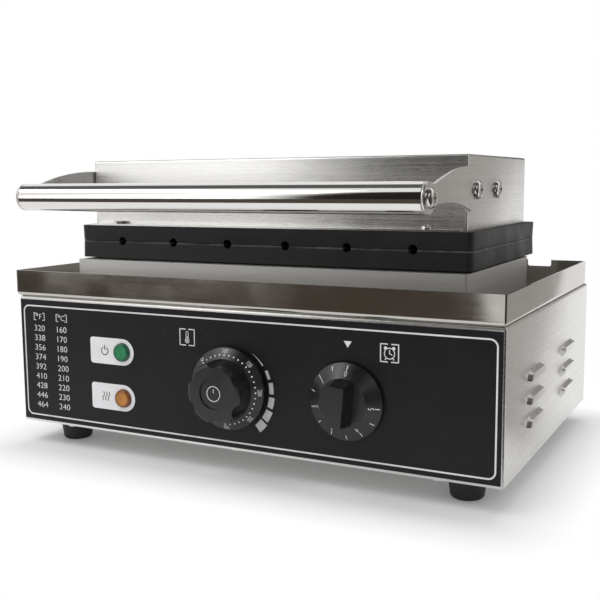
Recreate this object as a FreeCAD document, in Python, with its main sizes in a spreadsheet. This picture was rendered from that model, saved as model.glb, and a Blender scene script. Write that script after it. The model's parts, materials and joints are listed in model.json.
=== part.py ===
import FreeCAD, Part
import math
import os
import re
import Sketcher

# Driving dimensions, in millimetres and degrees; counts are plain numbers
driving = {
    # feet
    "foot_height": 18.0,
    "foot_top_diameter": 27.5,
    "foot_bottom_diameter": 22.5,
    "foot_edge": 3.0,
    "foot_side_inset": 31.5,
    "foot_end_inset": 28.0,
    "foot_recess_diameter": 11.0,
    "foot_recess_depth": 7.0,
    # base housing, its overlay panel, rear panel and bottom plate
    "housing_height": 102.8,
    "housing_side_inset": 0.5,
    "housing_set_back": 2.6,
    "housing_tail": 12.4,
    "housing_gauge": 1.0,
    "housing_bend": 2.0,
    "housing_lap": 14.0,
    "panel_gauge": 0.5,
    "panel_side_margin": 1.6,
    "panel_end_margin": 1.8,
    "rear_gauge": 1.0,
    "rear_corner": 3.0,
    "bottom_gauge": 1.2,
    "fit_gap": 0.2,
    # louvres pressed out of the side walls
    "louvre_columns": 2,
    "louvre_rows": 3,
    "louvre_length": 44.0,
    "louvre_height": 9.0,
    "louvre_rise": 3.2,
    "louvre_corner": 7.0,
    "louvre_draft": 30.0,
    "louvre_wall": 3.2,
    "louvre_pitch": 16.2,
    "louvre_low": 23.6,
    "louvre_front": 79.0,
    "louvre_spacing": 108.0,
    # drip tray
    "tray_height": 20.6,
    "tray_gauge": 1.2,
    "tray_bend": 3.5,
    "tray_corner": 1.6,
    "tray_front_channel": 34.7,
    "tray_side_channel": 35.7,
    "tray_notch_inset": 39.0,
    "tray_notch_width": 20.0,
    "tray_notch_depth": 5.5,
    "tray_notch_corner": 1.5,
    # riser under the lower plate
    "riser_height": 26.9,
    "riser_gauge": 1.2,
    "riser_corner": 1.5,
    "riser_lap": 12.0,
    "riser_side_step": 1.0,
    "riser_front_step": 6.7,
    "riser_rear_step": 15.3,
    # moulding plates
    "cavity_count": 6,
    "cavity_pitch": 49.4,
    "cavity_width": 38.0,
    "cavity_length": 130.0,
    "cavity_depth": 8.2,
    "cavity_corner": 9.0,
    "cavity_draft": 8.0,
    "plate_side_wall": 22.6,
    "plate_front_wall": 24.0,
    "plate_rear_wall": 18.4,
    "plate_corner": 4.5,
    "plate_draft": 2.0,
    "lower_plate_height": 13.4,
    "upper_plate_height": 12.2,
    "plate_foot_height": 1.4,
    "plate_foot_inset": 6.0,
    "parting_gap": 0.4,
    "stick_diameter": 6.8,
    "stud_columns": 2,
    "stud_rows": 7,
    "stud_side": 10.0,
    "stud_height": 3.8,
    "stud_pitch": 16.0,
    "stud_draft": 15.0,
    # heaters
    "element_diameter": 8.0,
    "element_runs": 4,
    "element_end_room": 11.9,
    "element_side_room": 13.7,
    "element_bend_flat": 4.0,
    "clamp_gauge": 2.0,
    "clamp_margin": 10.0,
    "wool_height": 13.0,
    # hood of the lid
    "hood_height": 51.7,
    "hood_gauge": 1.2,
    "hood_bend": 1.6,
    "hood_corner": 1.8,
    "hood_side_step": 6.7,
    "hood_front_step": 10.2,
    "hood_rear_step": 6.6,
    "hood_flange": 9.0,
    "flange_screw_inset": 27.0,
    # handle
    "bar_diameter": 20.2,
    "bar_wall": 2.0,
    "bar_reach": 68.3,
    "bar_rise": 36.2,
    "plug_length": 16.0,
    "arm_gauge": 2.4,
    "arm_joggle": 1.6,
    "arm_joggle_run": 18.0,
    "arm_joggle_start": 30.0,
    "arm_neck": 10.4,
    "arm_tail_radius": 10.4,
    "arm_tail_flat": 1.2,
    "arm_shoulder_back": 12.0,
    "arm_shoulder_rise": 16.0,
    "arm_shoulder_bend": 60.0,
    "arm_heel_back": 0.6,
    "arm_heel_drop": 14.2,
    "arm_heel_bend": 7.0,
    "arm_arch_reach": 35.0,
    "arm_arch_drop": 1.5,
    "arm_arch_bend": 40.0,
    "arm_screw_set_back": 12.9,
    "arm_screw_pitch": 48.7,
    "arm_screw_rise": 40.1,
    # lid hinges
    "hinge_behind": 22.2,
    "hinge_rise": 24.1,
    "hinge_spread": 190.0,
    "hinge_rear_room": 5.5,
    "ear_radius": 10.0,
    "ear_flat": 0.4,
    "ear_gauge": 3.0,
    "ear_gap": 0.4,
    "web_gauge": 3.0,
    "web_gap": 2.3,
    "hinge_foot_reach": 17.0,
    "lid_ear_gauge": 5.0,
    "lid_ear_drop": 8.0,
    "lid_flange_gauge": 3.0,
    "lid_flange_reach": 14.0,
    "lid_flange_rise": 31.0,
    "pin_diameter": 8.0,
    "pin_head_diameter": 13.0,
    "pin_head_height": 2.5,
    "pin_tail": 3.0,
    "ring_gauge": 1.2,
    "running_gap": 0.05,
    # controls
    "knob_level": 45.8,
    "knob_gap": 0.6,
    "temperature_offset": 0.0,
    "timer_offset": 92.3,
    "timer_turn": 5.5,
    "skirt_diameter": 60.0,
    "skirt_edge": 3.6,
    "skirt_height": 8.0,
    "grip_diameter": 45.0,
    "grip_front_diameter": 43.6,
    "grip_height": 22.5,
    "grip_edge": 3.0,
    "grip_disc_diameter": 22.0,
    "grip_disc_drop": 1.0,
    "flute_count": 6,
    "flute_radius": 9.0,
    "flute_depth": 3.0,
    "flute_draft": 10.0,
    "timer_skirt_diameter": 53.4,
    "timer_skirt_edge": 2.2,
    "timer_plateau_diameter": 34.0,
    "timer_skirt_height": 8.0,
    "timer_bar_length": 31.0,
    "timer_bar_width": 15.6,
    "timer_bar_height": 13.0,
    "timer_bar_draft": 8.0,
    "timer_bar_corner": 3.0,
    "knob_recess_diameter": 26.0,
    "knob_recess_depth": 4.5,
    "knob_bore_depth": 9.0,
    "shaft_diameter": 6.0,
    "shaft_seat": 16.0,
    "neck_diameter": 10.0,
    "neck_tail": 0.6,
    "nut_flats": 14.0,
    "nut_height": 2.6,
    "thermostat_width": 46.0,
    "thermostat_height": 38.0,
    "thermostat_depth": 32.0,
    "capillary_diameter": 2.4,
    "bulb_diameter": 7.0,
    "bulb_length": 80.0,
    "bulb_lead": 20.0,
    "bulb_set_back": 17.0,
    "timer_case_diameter": 48.0,
    "timer_case_depth": 34.0,
    # indicator lamps
    "lamp_offset": 96.0,
    "lamp_low_level": 28.0,
    "lamp_pitch": 35.9,
    "lens_diameter": 14.2,
    "lens_rise": 3.0,
    "lens_edge": 2.2,
    "lens_neck_diameter": 9.6,
    "lamp_case_diameter": 13.0,
    "lamp_case_length": 28.0,
    # mains entry
    "gland_offset": 130.0,
    "gland_level": 32.0,
    "gland_bore": 9.0,
    "gland_thread": 16.0,
    "gland_flange_diameter": 24.0,
    "gland_flange_height": 6.0,
    "gland_nut_diameter": 21.0,
    "gland_nose_diameter": 14.0,
    "gland_nose_length": 6.6,
    "gland_reach": 22.0,
    "gland_tail": 9.0,
    "locknut_diameter": 22.0,
    "locknut_height": 4.0,
    "terminal_length": 56.0,
    "terminal_depth": 22.0,
    "terminal_height": 18.0,
    "terminal_room": 40.0,
    "terminal_bore": 4.0,
    "terminal_pitch": 14.0,
    # screws
    "button_head_diameter": 12.8,
    "button_head_height": 3.4,
    "button_head_edge": 3.0,
    "button_recess_length": 6.0,
    "button_recess_width": 1.5,
    "button_recess_depth": 2.0,
    "button_shank_diameter": 6.0,
    "button_shank_length": 12.0,
    "pan_head_diameter": 7.6,
    "pan_head_height": 2.4,
    "pan_head_edge": 1.2,
    "pan_recess_length": 4.2,
    "pan_recess_width": 1.0,
    "pan_recess_depth": 1.2,
    "pan_shank_diameter": 4.0,
    "pan_shank_length": 8.0,
    "screw_hole_gap": 0.2,
    "screw_edge_room": 1.0,
    "rear_screw_inset": 7.0,
    "bottom_screw_count": 3,
    "bottom_screw_pitch": 154.0,
}

doc = FreeCAD.newDocument("stick_waffle_maker")
sheet = doc.addObject("Spreadsheet::Sheet", "Sizes")
for row, (alias, amount) in enumerate(driving.items(), start=1):
    sheet.set(f"A{row}", alias)
    sheet.set(f"B{row}", str(amount))
    sheet.setAlias(f"B{row}", alias)
doc.recompute()

# Levels above the floor, widths and depths worked out from the driving dimensions.
# Depth runs back from the front face of the drip tray.
deck = "(foot_height + housing_height)"
tray_floor = f"({deck} + tray_gauge)"
riser_top = f"({tray_floor} + riser_height)"
slab_low = f"({riser_top} + plate_foot_height)"
slab_top = f"({slab_low} + lower_plate_height)"
parting = f"({slab_top} + parting_gap / 2)"
lid_low = f"({slab_top} + parting_gap)"
lid_plate_top = f"({lid_low} + upper_plate_height)"
hood_top = f"({lid_plate_top} + hood_height)"
knob_z = "(foot_height + knob_level)"

half_plate = "((cavity_pitch * (cavity_count - 1) + cavity_width) / 2 + plate_side_wall)"
half_riser = f"({half_plate} - riser_side_step)"
half_tray = f"({half_riser} + tray_side_channel)"
half_housing = f"({half_tray} - housing_side_inset)"
half_hood = f"({half_plate} - hood_side_step)"
tab_outside = f"({half_hood} + arm_gauge - arm_joggle)"
tab_inside = f"({tab_outside} - arm_gauge)"

riser_front = "tray_front_channel"
plate_front = f"({riser_front} + riser_front_step)"
plate_rear = f"({plate_front} + plate_front_wall + cavity_length + plate_rear_wall)"
riser_rear = f"({plate_rear} - riser_rear_step)"
hood_front = f"({plate_front} + hood_front_step)"
hood_rear = f"({plate_rear} - hood_rear_step)"
hinge_y = f"({plate_rear} + hinge_behind)"
hinge_z = f"({parting} + hinge_rise)"
web_face = f"({hinge_y} + ear_radius + web_gap)"
web_rear = f"({web_face} + web_gauge)"
tray_rear = f"({web_rear} + hinge_rear_room + tray_gauge)"
housing_rear = f"({tray_rear} + housing_tail)"
rear_face = f"({housing_rear} + rear_gauge)"
panel_face = "(housing_set_back - panel_gauge)"
wall_inside = "(housing_set_back + housing_gauge)"
knob_rear = f"({panel_face} - knob_gap)"
bar_y = f"({plate_front} - bar_reach)"
bar_z = f"({parting} + bar_rise)"
bar_radius = "(bar_diameter / 2)"
screw_y = f"({hood_front} + arm_screw_set_back)"
screw_z = f"({parting} + arm_screw_rise)"

# The finished part is centred on its depth between the handle bar and the mains gland
mid_depth = f"(({rear_face} + gland_reach + {bar_y} - {bar_radius}) / 2)"

button_hole = "(button_shank_diameter / 2 + screw_hole_gap)"
pan_hole = "(pan_shank_diameter / 2 + screw_hole_gap)"

pieces = []
near_enough = 0.01
least_cut = 0.001


def tie(text):
    """Return the expression with every size name pointing at its cell."""
    def cell(found):
        word = found.group()
        return "Sizes." + word if word in driving else word
    return re.sub(r"[a-z_]+", cell, str(text))


def amount_of(text):
    """Work out an expression as a number."""
    return float(sheet.evalExpression(tie(text)))


def bind(item, **sizes):
    """Tie properties of an object to expressions."""
    for name, text in sizes.items():
        item.setExpression(name, tie(text))
    return item


def place(item, x="0", y="0", z="0"):
    """Tie an object's position to expressions."""
    for axis, text in (("x", x), ("y", y), ("z", z)):
        item.setExpression("Placement.Base." + axis, tie(text))
    return item


turns = {
    "+x": FreeCAD.Rotation(FreeCAD.Vector(0, 1, 0), 90),
    "-x": FreeCAD.Rotation(FreeCAD.Vector(0, 1, 0), -90),
    "+y": FreeCAD.Rotation(FreeCAD.Vector(1, 0, 0), -90),
    "-y": FreeCAD.Rotation(FreeCAD.Vector(1, 0, 0), 90),
    "+z": FreeCAD.Rotation(),
    "-z": FreeCAD.Rotation(FreeCAD.Vector(1, 0, 0), 180),
}


def face_along(item, direction):
    """Turn an object so that its own Z axis points along a direction of the part."""
    item.Placement = FreeCAD.Placement(FreeCAD.Vector(), turns[direction])
    return item


def block(name, x, y, z):
    """Rectangular block from (low, high) pairs of expressions."""
    item = doc.addObject("Part::Box", name)
    for size, axis, (low, high) in (("Length", "x", x), ("Width", "y", y), ("Height", "z", z)):
        item.setExpression(size, tie(f"({high}) - ({low})"))
        item.setExpression("Placement.Base." + axis, tie(low))
    return item


def rod(name, direction, radius, length, x="0", y="0", z="0"):
    """Round rod that starts at a point and runs along a direction."""
    item = face_along(doc.addObject("Part::Cylinder", name), direction)
    bind(item, Radius=radius, Height=length)
    return place(item, x, y, z)


def joined(name, items):
    """Union of several objects."""
    if len(items) == 1:
        return items[0]
    item = doc.addObject("Part::MultiFuse", name)
    item.Shapes = items
    item.Refine = True
    return item


def cut(name, base, tools):
    """One object less several others; the cut has to take material away."""
    item = doc.addObject("Part::Cut", name)
    item.Base = base
    item.Tool = joined(name + "_tools", tools)
    doc.recompute()
    if not item.Shape.Volume < base.Shape.Volume - least_cut:
        raise RuntimeError(f"{name} cuts nothing")
    return item


def sub_part(item, label):
    """Name a finished sub-part and centre it on the part's depth."""
    item.Label = label
    placed = {path.lstrip("."): text for path, text in item.ExpressionEngine}
    depth = placed.get("Placement.Base.y", "0")
    item.setExpression("Placement.Base.y", f"{depth} - {tie(mid_depth)}")
    pieces.append(item)
    return item


def copies(label, form, spots, direction="+z"):
    """Sub-part of identical solids: the form set down at each spot, or at (spot, direction) pairs."""
    links = []
    for spot in spots:
        link = doc.addObject("App::Link", label + "_copy")
        link.LinkedObject = form
        way = spot[3] if len(spot) > 3 else direction
        links.append(place(face_along(link, way), *spot[:3]))
    item = doc.addObject("Part::Compound", label)
    item.Links = links
    return sub_part(item, label)


def new_body(name):
    """Empty body."""
    return doc.addObject("PartDesign::Body", name)


def origin_feature(body, role):
    """One of the body's own planes or axes."""
    return [feature for feature in body.Origin.OriginFeatures if feature.Role == role][0]


def new_sketch(body, plane, offset="0"):
    """Sketch on a plane of the body, moved along the plane's normal."""
    sketch = body.newObject("Sketcher::SketchObject", body.Name + "_sketch")
    sketch.AttachmentSupport = [(origin_feature(body, plane), "")]
    sketch.MapMode = "FlatFace"
    sketch.setExpression("AttachmentOffset.Base.z", tie(offset))
    return sketch


def fix_point(sketch, shape, end, x, y):
    """Tie a point of a sketch to expressions for its two coordinates."""
    for kind, axis, text in (("DistanceX", -2, x), ("DistanceY", -1, y)):
        if str(text) == "0":
            sketch.addConstraint(Sketcher.Constraint("PointOnObject", shape, end, axis))
            continue
        index = sketch.addConstraint(Sketcher.Constraint(kind, -1, 1, shape, end, amount_of(text)))
        sketch.setExpression(f"Constraints[{index}]", tie(text))


def fix_radius(sketch, shape, text):
    """Tie the radius of an arc or circle to an expression."""
    index = sketch.addConstraint(Sketcher.Constraint("Radius", shape, amount_of(text)))
    sketch.setExpression(f"Constraints[{index}]", tie(text))


def draw(sketch, corners, closed=True):
    """Draw straight runs through corners given as (x, y) or, where rounded, (x, y, radius)."""
    count = len(corners)
    spots = [FreeCAD.Vector(amount_of(c[0]), amount_of(c[1]), 0) for c in corners]
    leaving = list(spots)
    reaching = list(spots)
    arcs = {}
    for i, corner in enumerate(corners):
        if len(corner) == 2:
            continue
        before = (spots[i] - spots[i - 1]).normalize()
        after = (spots[(i + 1) % count] - spots[i]).normalize()
        radius = amount_of(corner[2])
        reach = radius * math.tan(before.getAngle(after) / 2)
        reaching[i] = spots[i] - before * reach
        leaving[i] = spots[i] + after * reach
        left = before.cross(after).z > 0
        inward = FreeCAD.Vector(-before.y, before.x, 0) * (1 if left else -1)
        centre = reaching[i] + inward * radius
        first, last = (reaching[i], leaving[i]) if left else (leaving[i], reaching[i])
        angles = [math.atan2(p.y - centre.y, p.x - centre.x) for p in (first, last)]
        circle = Part.Circle(centre, FreeCAD.Vector(0, 0, 1), radius)
        arcs[i] = (sketch.addGeometry(Part.ArcOfCircle(circle, *angles), False), left)
    lines = {}
    for i in range(count if closed else count - 1):
        run = Part.LineSegment(leaving[i], reaching[(i + 1) % count])
        lines[i] = sketch.addGeometry(run, False)
    for i, corner in enumerate(corners):
        came = lines.get((i - 1) % count)
        goes = lines.get(i)
        if i in arcs:
            arc, left = arcs[i]
            point = sketch.addGeometry(Part.Point(spots[i]), True)
            sketch.addConstraint([
                Sketcher.Constraint("Tangent", came, 2, arc, 1 if left else 2),
                Sketcher.Constraint("Tangent", goes, 1, arc, 2 if left else 1),
                Sketcher.Constraint("PointOnObject", point, 1, came),
                Sketcher.Constraint("PointOnObject", point, 1, goes),
            ])
            fix_point(sketch, point, 1, *corner[:2])
            fix_radius(sketch, arc, corner[2])
        elif came is None:
            fix_point(sketch, goes, 1, *corner[:2])
        elif goes is None:
            fix_point(sketch, came, 2, *corner[:2])
        else:
            sketch.addConstraint(Sketcher.Constraint("Coincident", came, 2, goes, 1))
            fix_point(sketch, goes, 1, *corner[:2])


def draw_rectangle(sketch, x, y, radius=None):
    """Draw a rectangle from (low, high) pairs, with rounded corners where a radius is given."""
    corners = [(x[0], y[0]), (x[1], y[0]), (x[1], y[1]), (x[0], y[1])]
    draw(sketch, [corner + (radius,) for corner in corners] if radius else corners)


def draw_circle(sketch, x, y, radius):
    """Draw a circle."""
    centre = FreeCAD.Vector(amount_of(x), amount_of(y), 0)
    shape = Part.Circle(centre, FreeCAD.Vector(0, 0, 1), amount_of(radius))
    circle = sketch.addGeometry(shape, False)
    fix_point(sketch, circle, 3, x, y)
    fix_radius(sketch, circle, radius)


def both(half):
    """Pair of expressions that lie evenly about the middle."""
    return (f"-{half}", half)


def pad(body, sketch, length, reverse=False, draft=None):
    """Add material along the sketch's normal, or against it."""
    feature = body.newObject("PartDesign::Pad", body.Name + "_pad")
    feature.Profile = sketch
    feature.Reversed = reverse
    bind(feature, Length=length)
    if draft:
        bind(feature, TaperAngle=draft)
    doc.recompute()
    return feature


def pocket(body, sketch, depth, along=False, draft=None):
    """Take material away against the sketch's normal, or along it, and see that it did."""
    before = body.Shape.Volume
    feature = body.newObject("PartDesign::Pocket", body.Name + "_pocket")
    feature.Profile = sketch
    feature.Reversed = along
    bind(feature, Length=depth)
    if draft:
        bind(feature, TaperAngle=draft)
    doc.recompute()
    if not body.Shape.Volume < before - least_cut:
        raise RuntimeError(f"{feature.Name} cuts nothing")
    return feature


def revolve(body, sketch):
    """Turn a profile about its sketch's vertical axis."""
    feature = body.newObject("PartDesign::Revolution", body.Name + "_turning")
    feature.Profile = sketch
    feature.ReferenceAxis = (sketch, ["V_Axis"])
    feature.Angle = 360
    doc.recompute()
    return feature


def round_edges(body, feature, radius, wanted):
    """Round the edges whose bounding boxes are wanted."""
    names = []
    for index, edge in enumerate(feature.Shape.Edges, start=1):
        if wanted(edge.BoundBox):
            names.append(f"Edge{index}")
    fillet = body.newObject("PartDesign::Fillet", body.Name + "_rounding")
    fillet.Base = (feature, names)
    bind(fillet, Radius=radius)
    doc.recompute()
    return fillet


def row_of(body, axis, count, length):
    """Straight pattern along one of the body's axes."""
    pattern = body.newObject("PartDesign::LinearPattern", body.Name + "_row")
    pattern.Direction = (origin_feature(body, axis), [""])
    bind(pattern, Length=length, Occurrences=count)
    return pattern


def screw_form(name, size, shank_length):
    """Screw with a domed, cross-recessed head that stands up from its seat, with its shank below."""
    body = new_body(name)
    head = f"({size}_head_diameter / 2)"
    shank = f"({size}_shank_diameter / 2)"
    top = f"{size}_head_height"
    sketch = new_sketch(body, "XZ_Plane")
    draw(sketch, [("0", f"-({shank_length})"), (shank, f"-({shank_length})"), (shank, "0"),
                  (head, "0"), (head, top, f"{size}_head_edge"), ("0", top)])
    revolve(body, sketch)
    sketch = new_sketch(body, "XY_Plane", top)
    draw_cross(sketch, f"({size}_recess_length / 2)", f"({size}_recess_width / 2)")
    pocket(body, sketch, f"{size}_recess_depth")
    return body


def draw_cross(sketch, reach, half_width):
    """Draw an upright cross about the origin."""
    tip = both(reach)
    near = both(half_width)
    draw(sketch, [(tip[1], near[0]), (tip[1], near[1]), (near[1], near[1]), (near[1], tip[1]),
                  (near[0], tip[1]), (near[0], near[1]), (tip[0], near[1]), (tip[0], near[0]),
                  (near[0], near[0]), (near[0], tip[0]), (near[1], tip[0]), (near[1], near[0])])


def draw_hexagon(sketch, flats):
    """Draw a hexagon about the origin from the distance across its flats."""
    corners = []
    for step in range(6):
        angle = 60 * step + 30
        reach = f"{flats} / 2 / cos(30)"
        corners.append((f"{reach} * cos({angle})", f"{reach} * sin({angle})"))
    draw(sketch, corners)


# Base housing: one sheet bent round the front and sides, with lips turned in at top, rear and foot
bottom_face = "(foot_height + bottom_gauge)"
lap_x = both(f"({half_housing} - housing_lap)")
lap_y = ("(housing_set_back + housing_lap)", f"({housing_rear} - housing_lap)")
bottom_screws = []
for step in range(int(amount_of("bottom_screw_count"))):
    x = f"(bottom_screw_pitch * ({step} - (bottom_screw_count - 1) / 2))"
    for y in ("(housing_set_back + housing_lap / 2)", f"({housing_rear} - housing_lap / 2)"):
        bottom_screws.append((x, y))
shell = new_body("housing_shell")
sketch = new_sketch(shell, "XY_Plane", "foot_height")
draw_rectangle(sketch, both(half_housing), ("housing_set_back", housing_rear))
feature = pad(shell, sketch, "housing_height")
deck_at = amount_of(deck) - near_enough
front_at = amount_of("housing_set_back") + near_enough
rear_at = amount_of(housing_rear) - near_enough
round_edges(shell, feature, "housing_bend", lambda b: (b.ZMin > deck_at and b.YMin < rear_at)
            or (b.YMax < front_at and b.XLength < near_enough))
sketch = new_sketch(shell, "XY_Plane", "foot_height")
draw_rectangle(sketch, both(f"({half_housing} - housing_gauge)"),
               (wall_inside, f"({housing_rear} - housing_gauge)"))
pocket(shell, sketch, "housing_height - housing_gauge", along=True)
sketch = new_sketch(shell, "XY_Plane", deck)
draw_rectangle(sketch, lap_x, lap_y)
pocket(shell, sketch, "2 * housing_gauge")
sketch = new_sketch(shell, "XY_Plane", bottom_face)
draw_rectangle(sketch, both(f"({half_housing} - housing_gauge / 2)"),
               ("(housing_set_back + housing_gauge / 2)", f"({housing_rear} - housing_gauge / 2)"))
draw_rectangle(sketch, lap_x, lap_y)
for x, y in bottom_screws:
    draw_circle(sketch, x, y, pan_hole)
pad(shell, sketch, "housing_gauge")
sketch = new_sketch(shell, "XZ_Plane", f"-{housing_rear}")
draw_rectangle(sketch, both(f"({half_housing} - housing_lap)"),
               ("(foot_height - housing_gauge)", f"({deck} - housing_lap)"))
pocket(shell, sketch, "2 * housing_gauge", along=True)
rear_screw_z = ("(foot_height + rear_screw_inset)", f"({deck} - housing_bend - rear_screw_inset)")
rear_screw_x = f"({half_housing} - rear_screw_inset)"
rear_screws = [(x, z) for x in both(rear_screw_x) for z in rear_screw_z]
sketch = new_sketch(shell, "XZ_Plane", f"-{housing_rear}")
for x, z in rear_screws:
    draw_circle(sketch, x, z, pan_hole)
pocket(shell, sketch, "2 * housing_gauge", along=True)
lamp_levels = ("(foot_height + lamp_low_level + lamp_pitch)", "(foot_height + lamp_low_level)")
panel_holes = [("temperature_offset", knob_z, "(neck_diameter / 2 + fit_gap)"),
               ("timer_offset", knob_z, "(neck_diameter / 2 + fit_gap)")]
for level in lamp_levels:
    panel_holes.append(("-lamp_offset", level, "(lens_neck_diameter / 2 + fit_gap)"))
sketch = new_sketch(shell, "XZ_Plane", "-housing_set_back")
for hole in panel_holes:
    draw_circle(sketch, *hole)
pocket(shell, sketch, "2 * housing_gauge")

louvre = new_body("louvre_form")
louvre_half = "(louvre_length / 2)"
sketch = new_sketch(louvre, "XZ_Plane", "housing_gauge / 2")
draw(sketch, [(f"-{louvre_half}", "0"), (louvre_half, "0"), (louvre_half, "louvre_height", "louvre_corner"),
              (f"-{louvre_half}", "louvre_height", "louvre_corner")])
pad(louvre, sketch, "louvre_rise + housing_gauge / 2", reverse=True, draft="-louvre_draft")
louvre_hollow = new_body("louvre_hollow_form")
hollow_half = f"({louvre_half} - louvre_wall)"
hollow_top = "(louvre_height - louvre_wall)"
hollow_corner = "(louvre_corner - louvre_wall)"
sketch = new_sketch(louvre_hollow, "XZ_Plane", "2 * housing_gauge")
draw(sketch, [(f"-{hollow_half}", "-fit_gap"), (hollow_half, "-fit_gap"),
              (hollow_half, hollow_top, hollow_corner), (f"-{hollow_half}", hollow_top, hollow_corner)])
pad(louvre_hollow, sketch, "louvre_rise + housing_gauge", reverse=True)
bulges = []
hollows = []
for side in (1, -1):
    turn = FreeCAD.Rotation(FreeCAD.Vector(0, 0, 1), -90 * side)
    for column in range(int(amount_of("louvre_columns"))):
        for row in range(int(amount_of("louvre_rows"))):
            spot = (f"{side} * {half_housing}",
                    f"housing_set_back + louvre_front + {column} * louvre_spacing",
                    f"foot_height + louvre_low + {row} * louvre_pitch")
            for form, group in ((louvre, bulges), (louvre_hollow, hollows)):
                link = doc.addObject("App::Link", form.Name + "_copy")
                link.LinkedObject = form
                link.Placement = FreeCAD.Placement(FreeCAD.Vector(), turn)
                group.append(place(link, *spot))
pressed = joined("pressed_shell", [shell] + bulges)
sub_part(cut("base_housing", pressed, hollows), "base_housing")

# Overlay panel stuck on the front of the housing
panel = new_body("control_panel")
sketch = new_sketch(panel, "XZ_Plane", "-housing_set_back")
draw_rectangle(sketch, both(f"({half_housing} - panel_side_margin)"),
               ("(foot_height + panel_end_margin)", f"({deck} - housing_bend - panel_end_margin / 2)"))
for hole in panel_holes:
    draw_circle(sketch, *hole)
pad(panel, sketch, "panel_gauge")
sub_part(panel, "control_panel")

# Rear panel screwed to the housing's rear lips, with the hole for the mains gland
gland_z = "(foot_height + gland_level)"
panel = new_body("rear_panel")
sketch = new_sketch(panel, "XZ_Plane", f"-{rear_face}")
draw_rectangle(sketch, both(f"({half_housing} - fit_gap)"),
               ("foot_height", f"({deck} - housing_bend)"), "rear_corner")
draw_circle(sketch, "gland_offset", gland_z, "(gland_thread / 2 + fit_gap)")
for x, z in rear_screws:
    draw_circle(sketch, x, z, pan_hole)
pad(panel, sketch, "rear_gauge")
sub_part(panel, "rear_panel")

# Bottom plate inside the foot of the housing, carrying the feet
foot_x = f"({half_housing} - foot_side_inset)"
foot_ys = ("(housing_set_back + foot_end_inset)", f"({housing_rear} - foot_end_inset)")
foot_spots = [(x, y, "0") for x in both(foot_x) for y in foot_ys]
plate = new_body("bottom_plate")
sketch = new_sketch(plate, "XY_Plane", "foot_height")
draw_rectangle(sketch, both(f"({half_housing} - housing_gauge - fit_gap)"),
               (f"({wall_inside} + fit_gap)", f"({housing_rear} - housing_gauge - fit_gap)"))
for x, y in [spot[:2] for spot in foot_spots] + bottom_screws:
    draw_circle(sketch, x, y, pan_hole)
pad(plate, sketch, "bottom_gauge")
sub_part(plate, "bottom_plate")

# Rubber feet with a recess for their screws
foot = new_body("foot_form")
sketch = new_sketch(foot, "XZ_Plane")
draw(sketch, [("foot_recess_diameter / 2", "0"), ("foot_bottom_diameter / 2", "0", "foot_edge"),
              ("foot_top_diameter / 2", "foot_height"), (pan_hole, "foot_height"),
              (pan_hole, "foot_recess_depth"), ("foot_recess_diameter / 2", "foot_recess_depth")])
revolve(foot, sketch)
copies("rubber_feet", foot, foot_spots)
pan = screw_form("pan_screw_form", "pan", "pan_shank_length")
foot_screw = screw_form("foot_screw_form", "pan",
                        "foot_height - foot_recess_depth + bottom_gauge + pan_shank_length / 2")
copies("foot_screws", foot_screw, [(x, y, "foot_recess_depth") for x, y, z in foot_spots], "-z")

# Drip tray: a shallow pan with its floor open under the riser and two notches in its rear wall
hinge_foot_x = "(ear_gap + lid_ear_gauge / 2 + ear_gauge + hinge_foot_reach / 2)"
hinge_screws = []
for side in (-1, 1):
    for step in (-1, 1):
        x = f"({side} * hinge_spread / 2 + {step} * {hinge_foot_x})"
        hinge_screws.append((x, hinge_y))
opening_x = both(f"({half_riser} - riser_gauge - riser_lap)")
opening_y = (f"({riser_front} + riser_gauge + riser_lap)", f"({riser_rear} - riser_gauge - riser_lap)")
tray = new_body("drip_tray")
sketch = new_sketch(tray, "XY_Plane", deck)
draw_rectangle(sketch, both(half_tray), ("0", tray_rear), "tray_corner")
feature = pad(tray, sketch, "tray_height")
round_edges(tray, feature, "tray_bend", lambda b: b.ZMax < deck_at + 2 * near_enough)
sketch = new_sketch(tray, "XY_Plane", f"({deck} + tray_height)")
draw_rectangle(sketch, both(f"({half_tray} - tray_gauge)"), ("tray_gauge", f"({tray_rear} - tray_gauge)"))
pocket(tray, sketch, "tray_height - tray_gauge")
sketch = new_sketch(tray, "XY_Plane", f"({deck} + tray_height)")
draw_rectangle(sketch, opening_x, opening_y)
for x, y in hinge_screws:
    draw_circle(sketch, x, y, pan_hole)
pocket(tray, sketch, "tray_height")
notch_x = f"({half_tray} - tray_notch_inset)"
notch_low = f"({deck} + tray_height - tray_notch_depth)"
notch_high = f"({deck} + tray_height + tray_notch_depth)"
sketch = new_sketch(tray, "XZ_Plane", f"-{tray_rear}")
for side in (-1, 1):
    draw_rectangle(sketch, (f"({side} * {notch_x} - tray_notch_width / 2)",
                            f"({side} * {notch_x} + tray_notch_width / 2)"),
                   (notch_low, notch_high), "tray_notch_corner")
pocket(tray, sketch, "2 * tray_gauge", along=True)
sub_part(tray, "drip_tray")

# Riser: folded frame that lifts the lower plate above the tray
riser = new_body("plate_riser")
sketch = new_sketch(riser, "XY_Plane", tray_floor)
draw_rectangle(sketch, both(half_riser), (riser_front, riser_rear), "riser_corner")
pad(riser, sketch, "riser_height")
sketch = new_sketch(riser, "XY_Plane", tray_floor)
draw_rectangle(sketch, both(f"({half_riser} - riser_gauge)"),
               (f"({riser_front} + riser_gauge)", f"({riser_rear} - riser_gauge)"))
pocket(riser, sketch, "riser_height - riser_gauge", along=True)
sketch = new_sketch(riser, "XY_Plane", riser_top)
draw_rectangle(sketch, opening_x, opening_y)
pocket(riser, sketch, "2 * riser_gauge")
sub_part(riser, "plate_riser")


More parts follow.
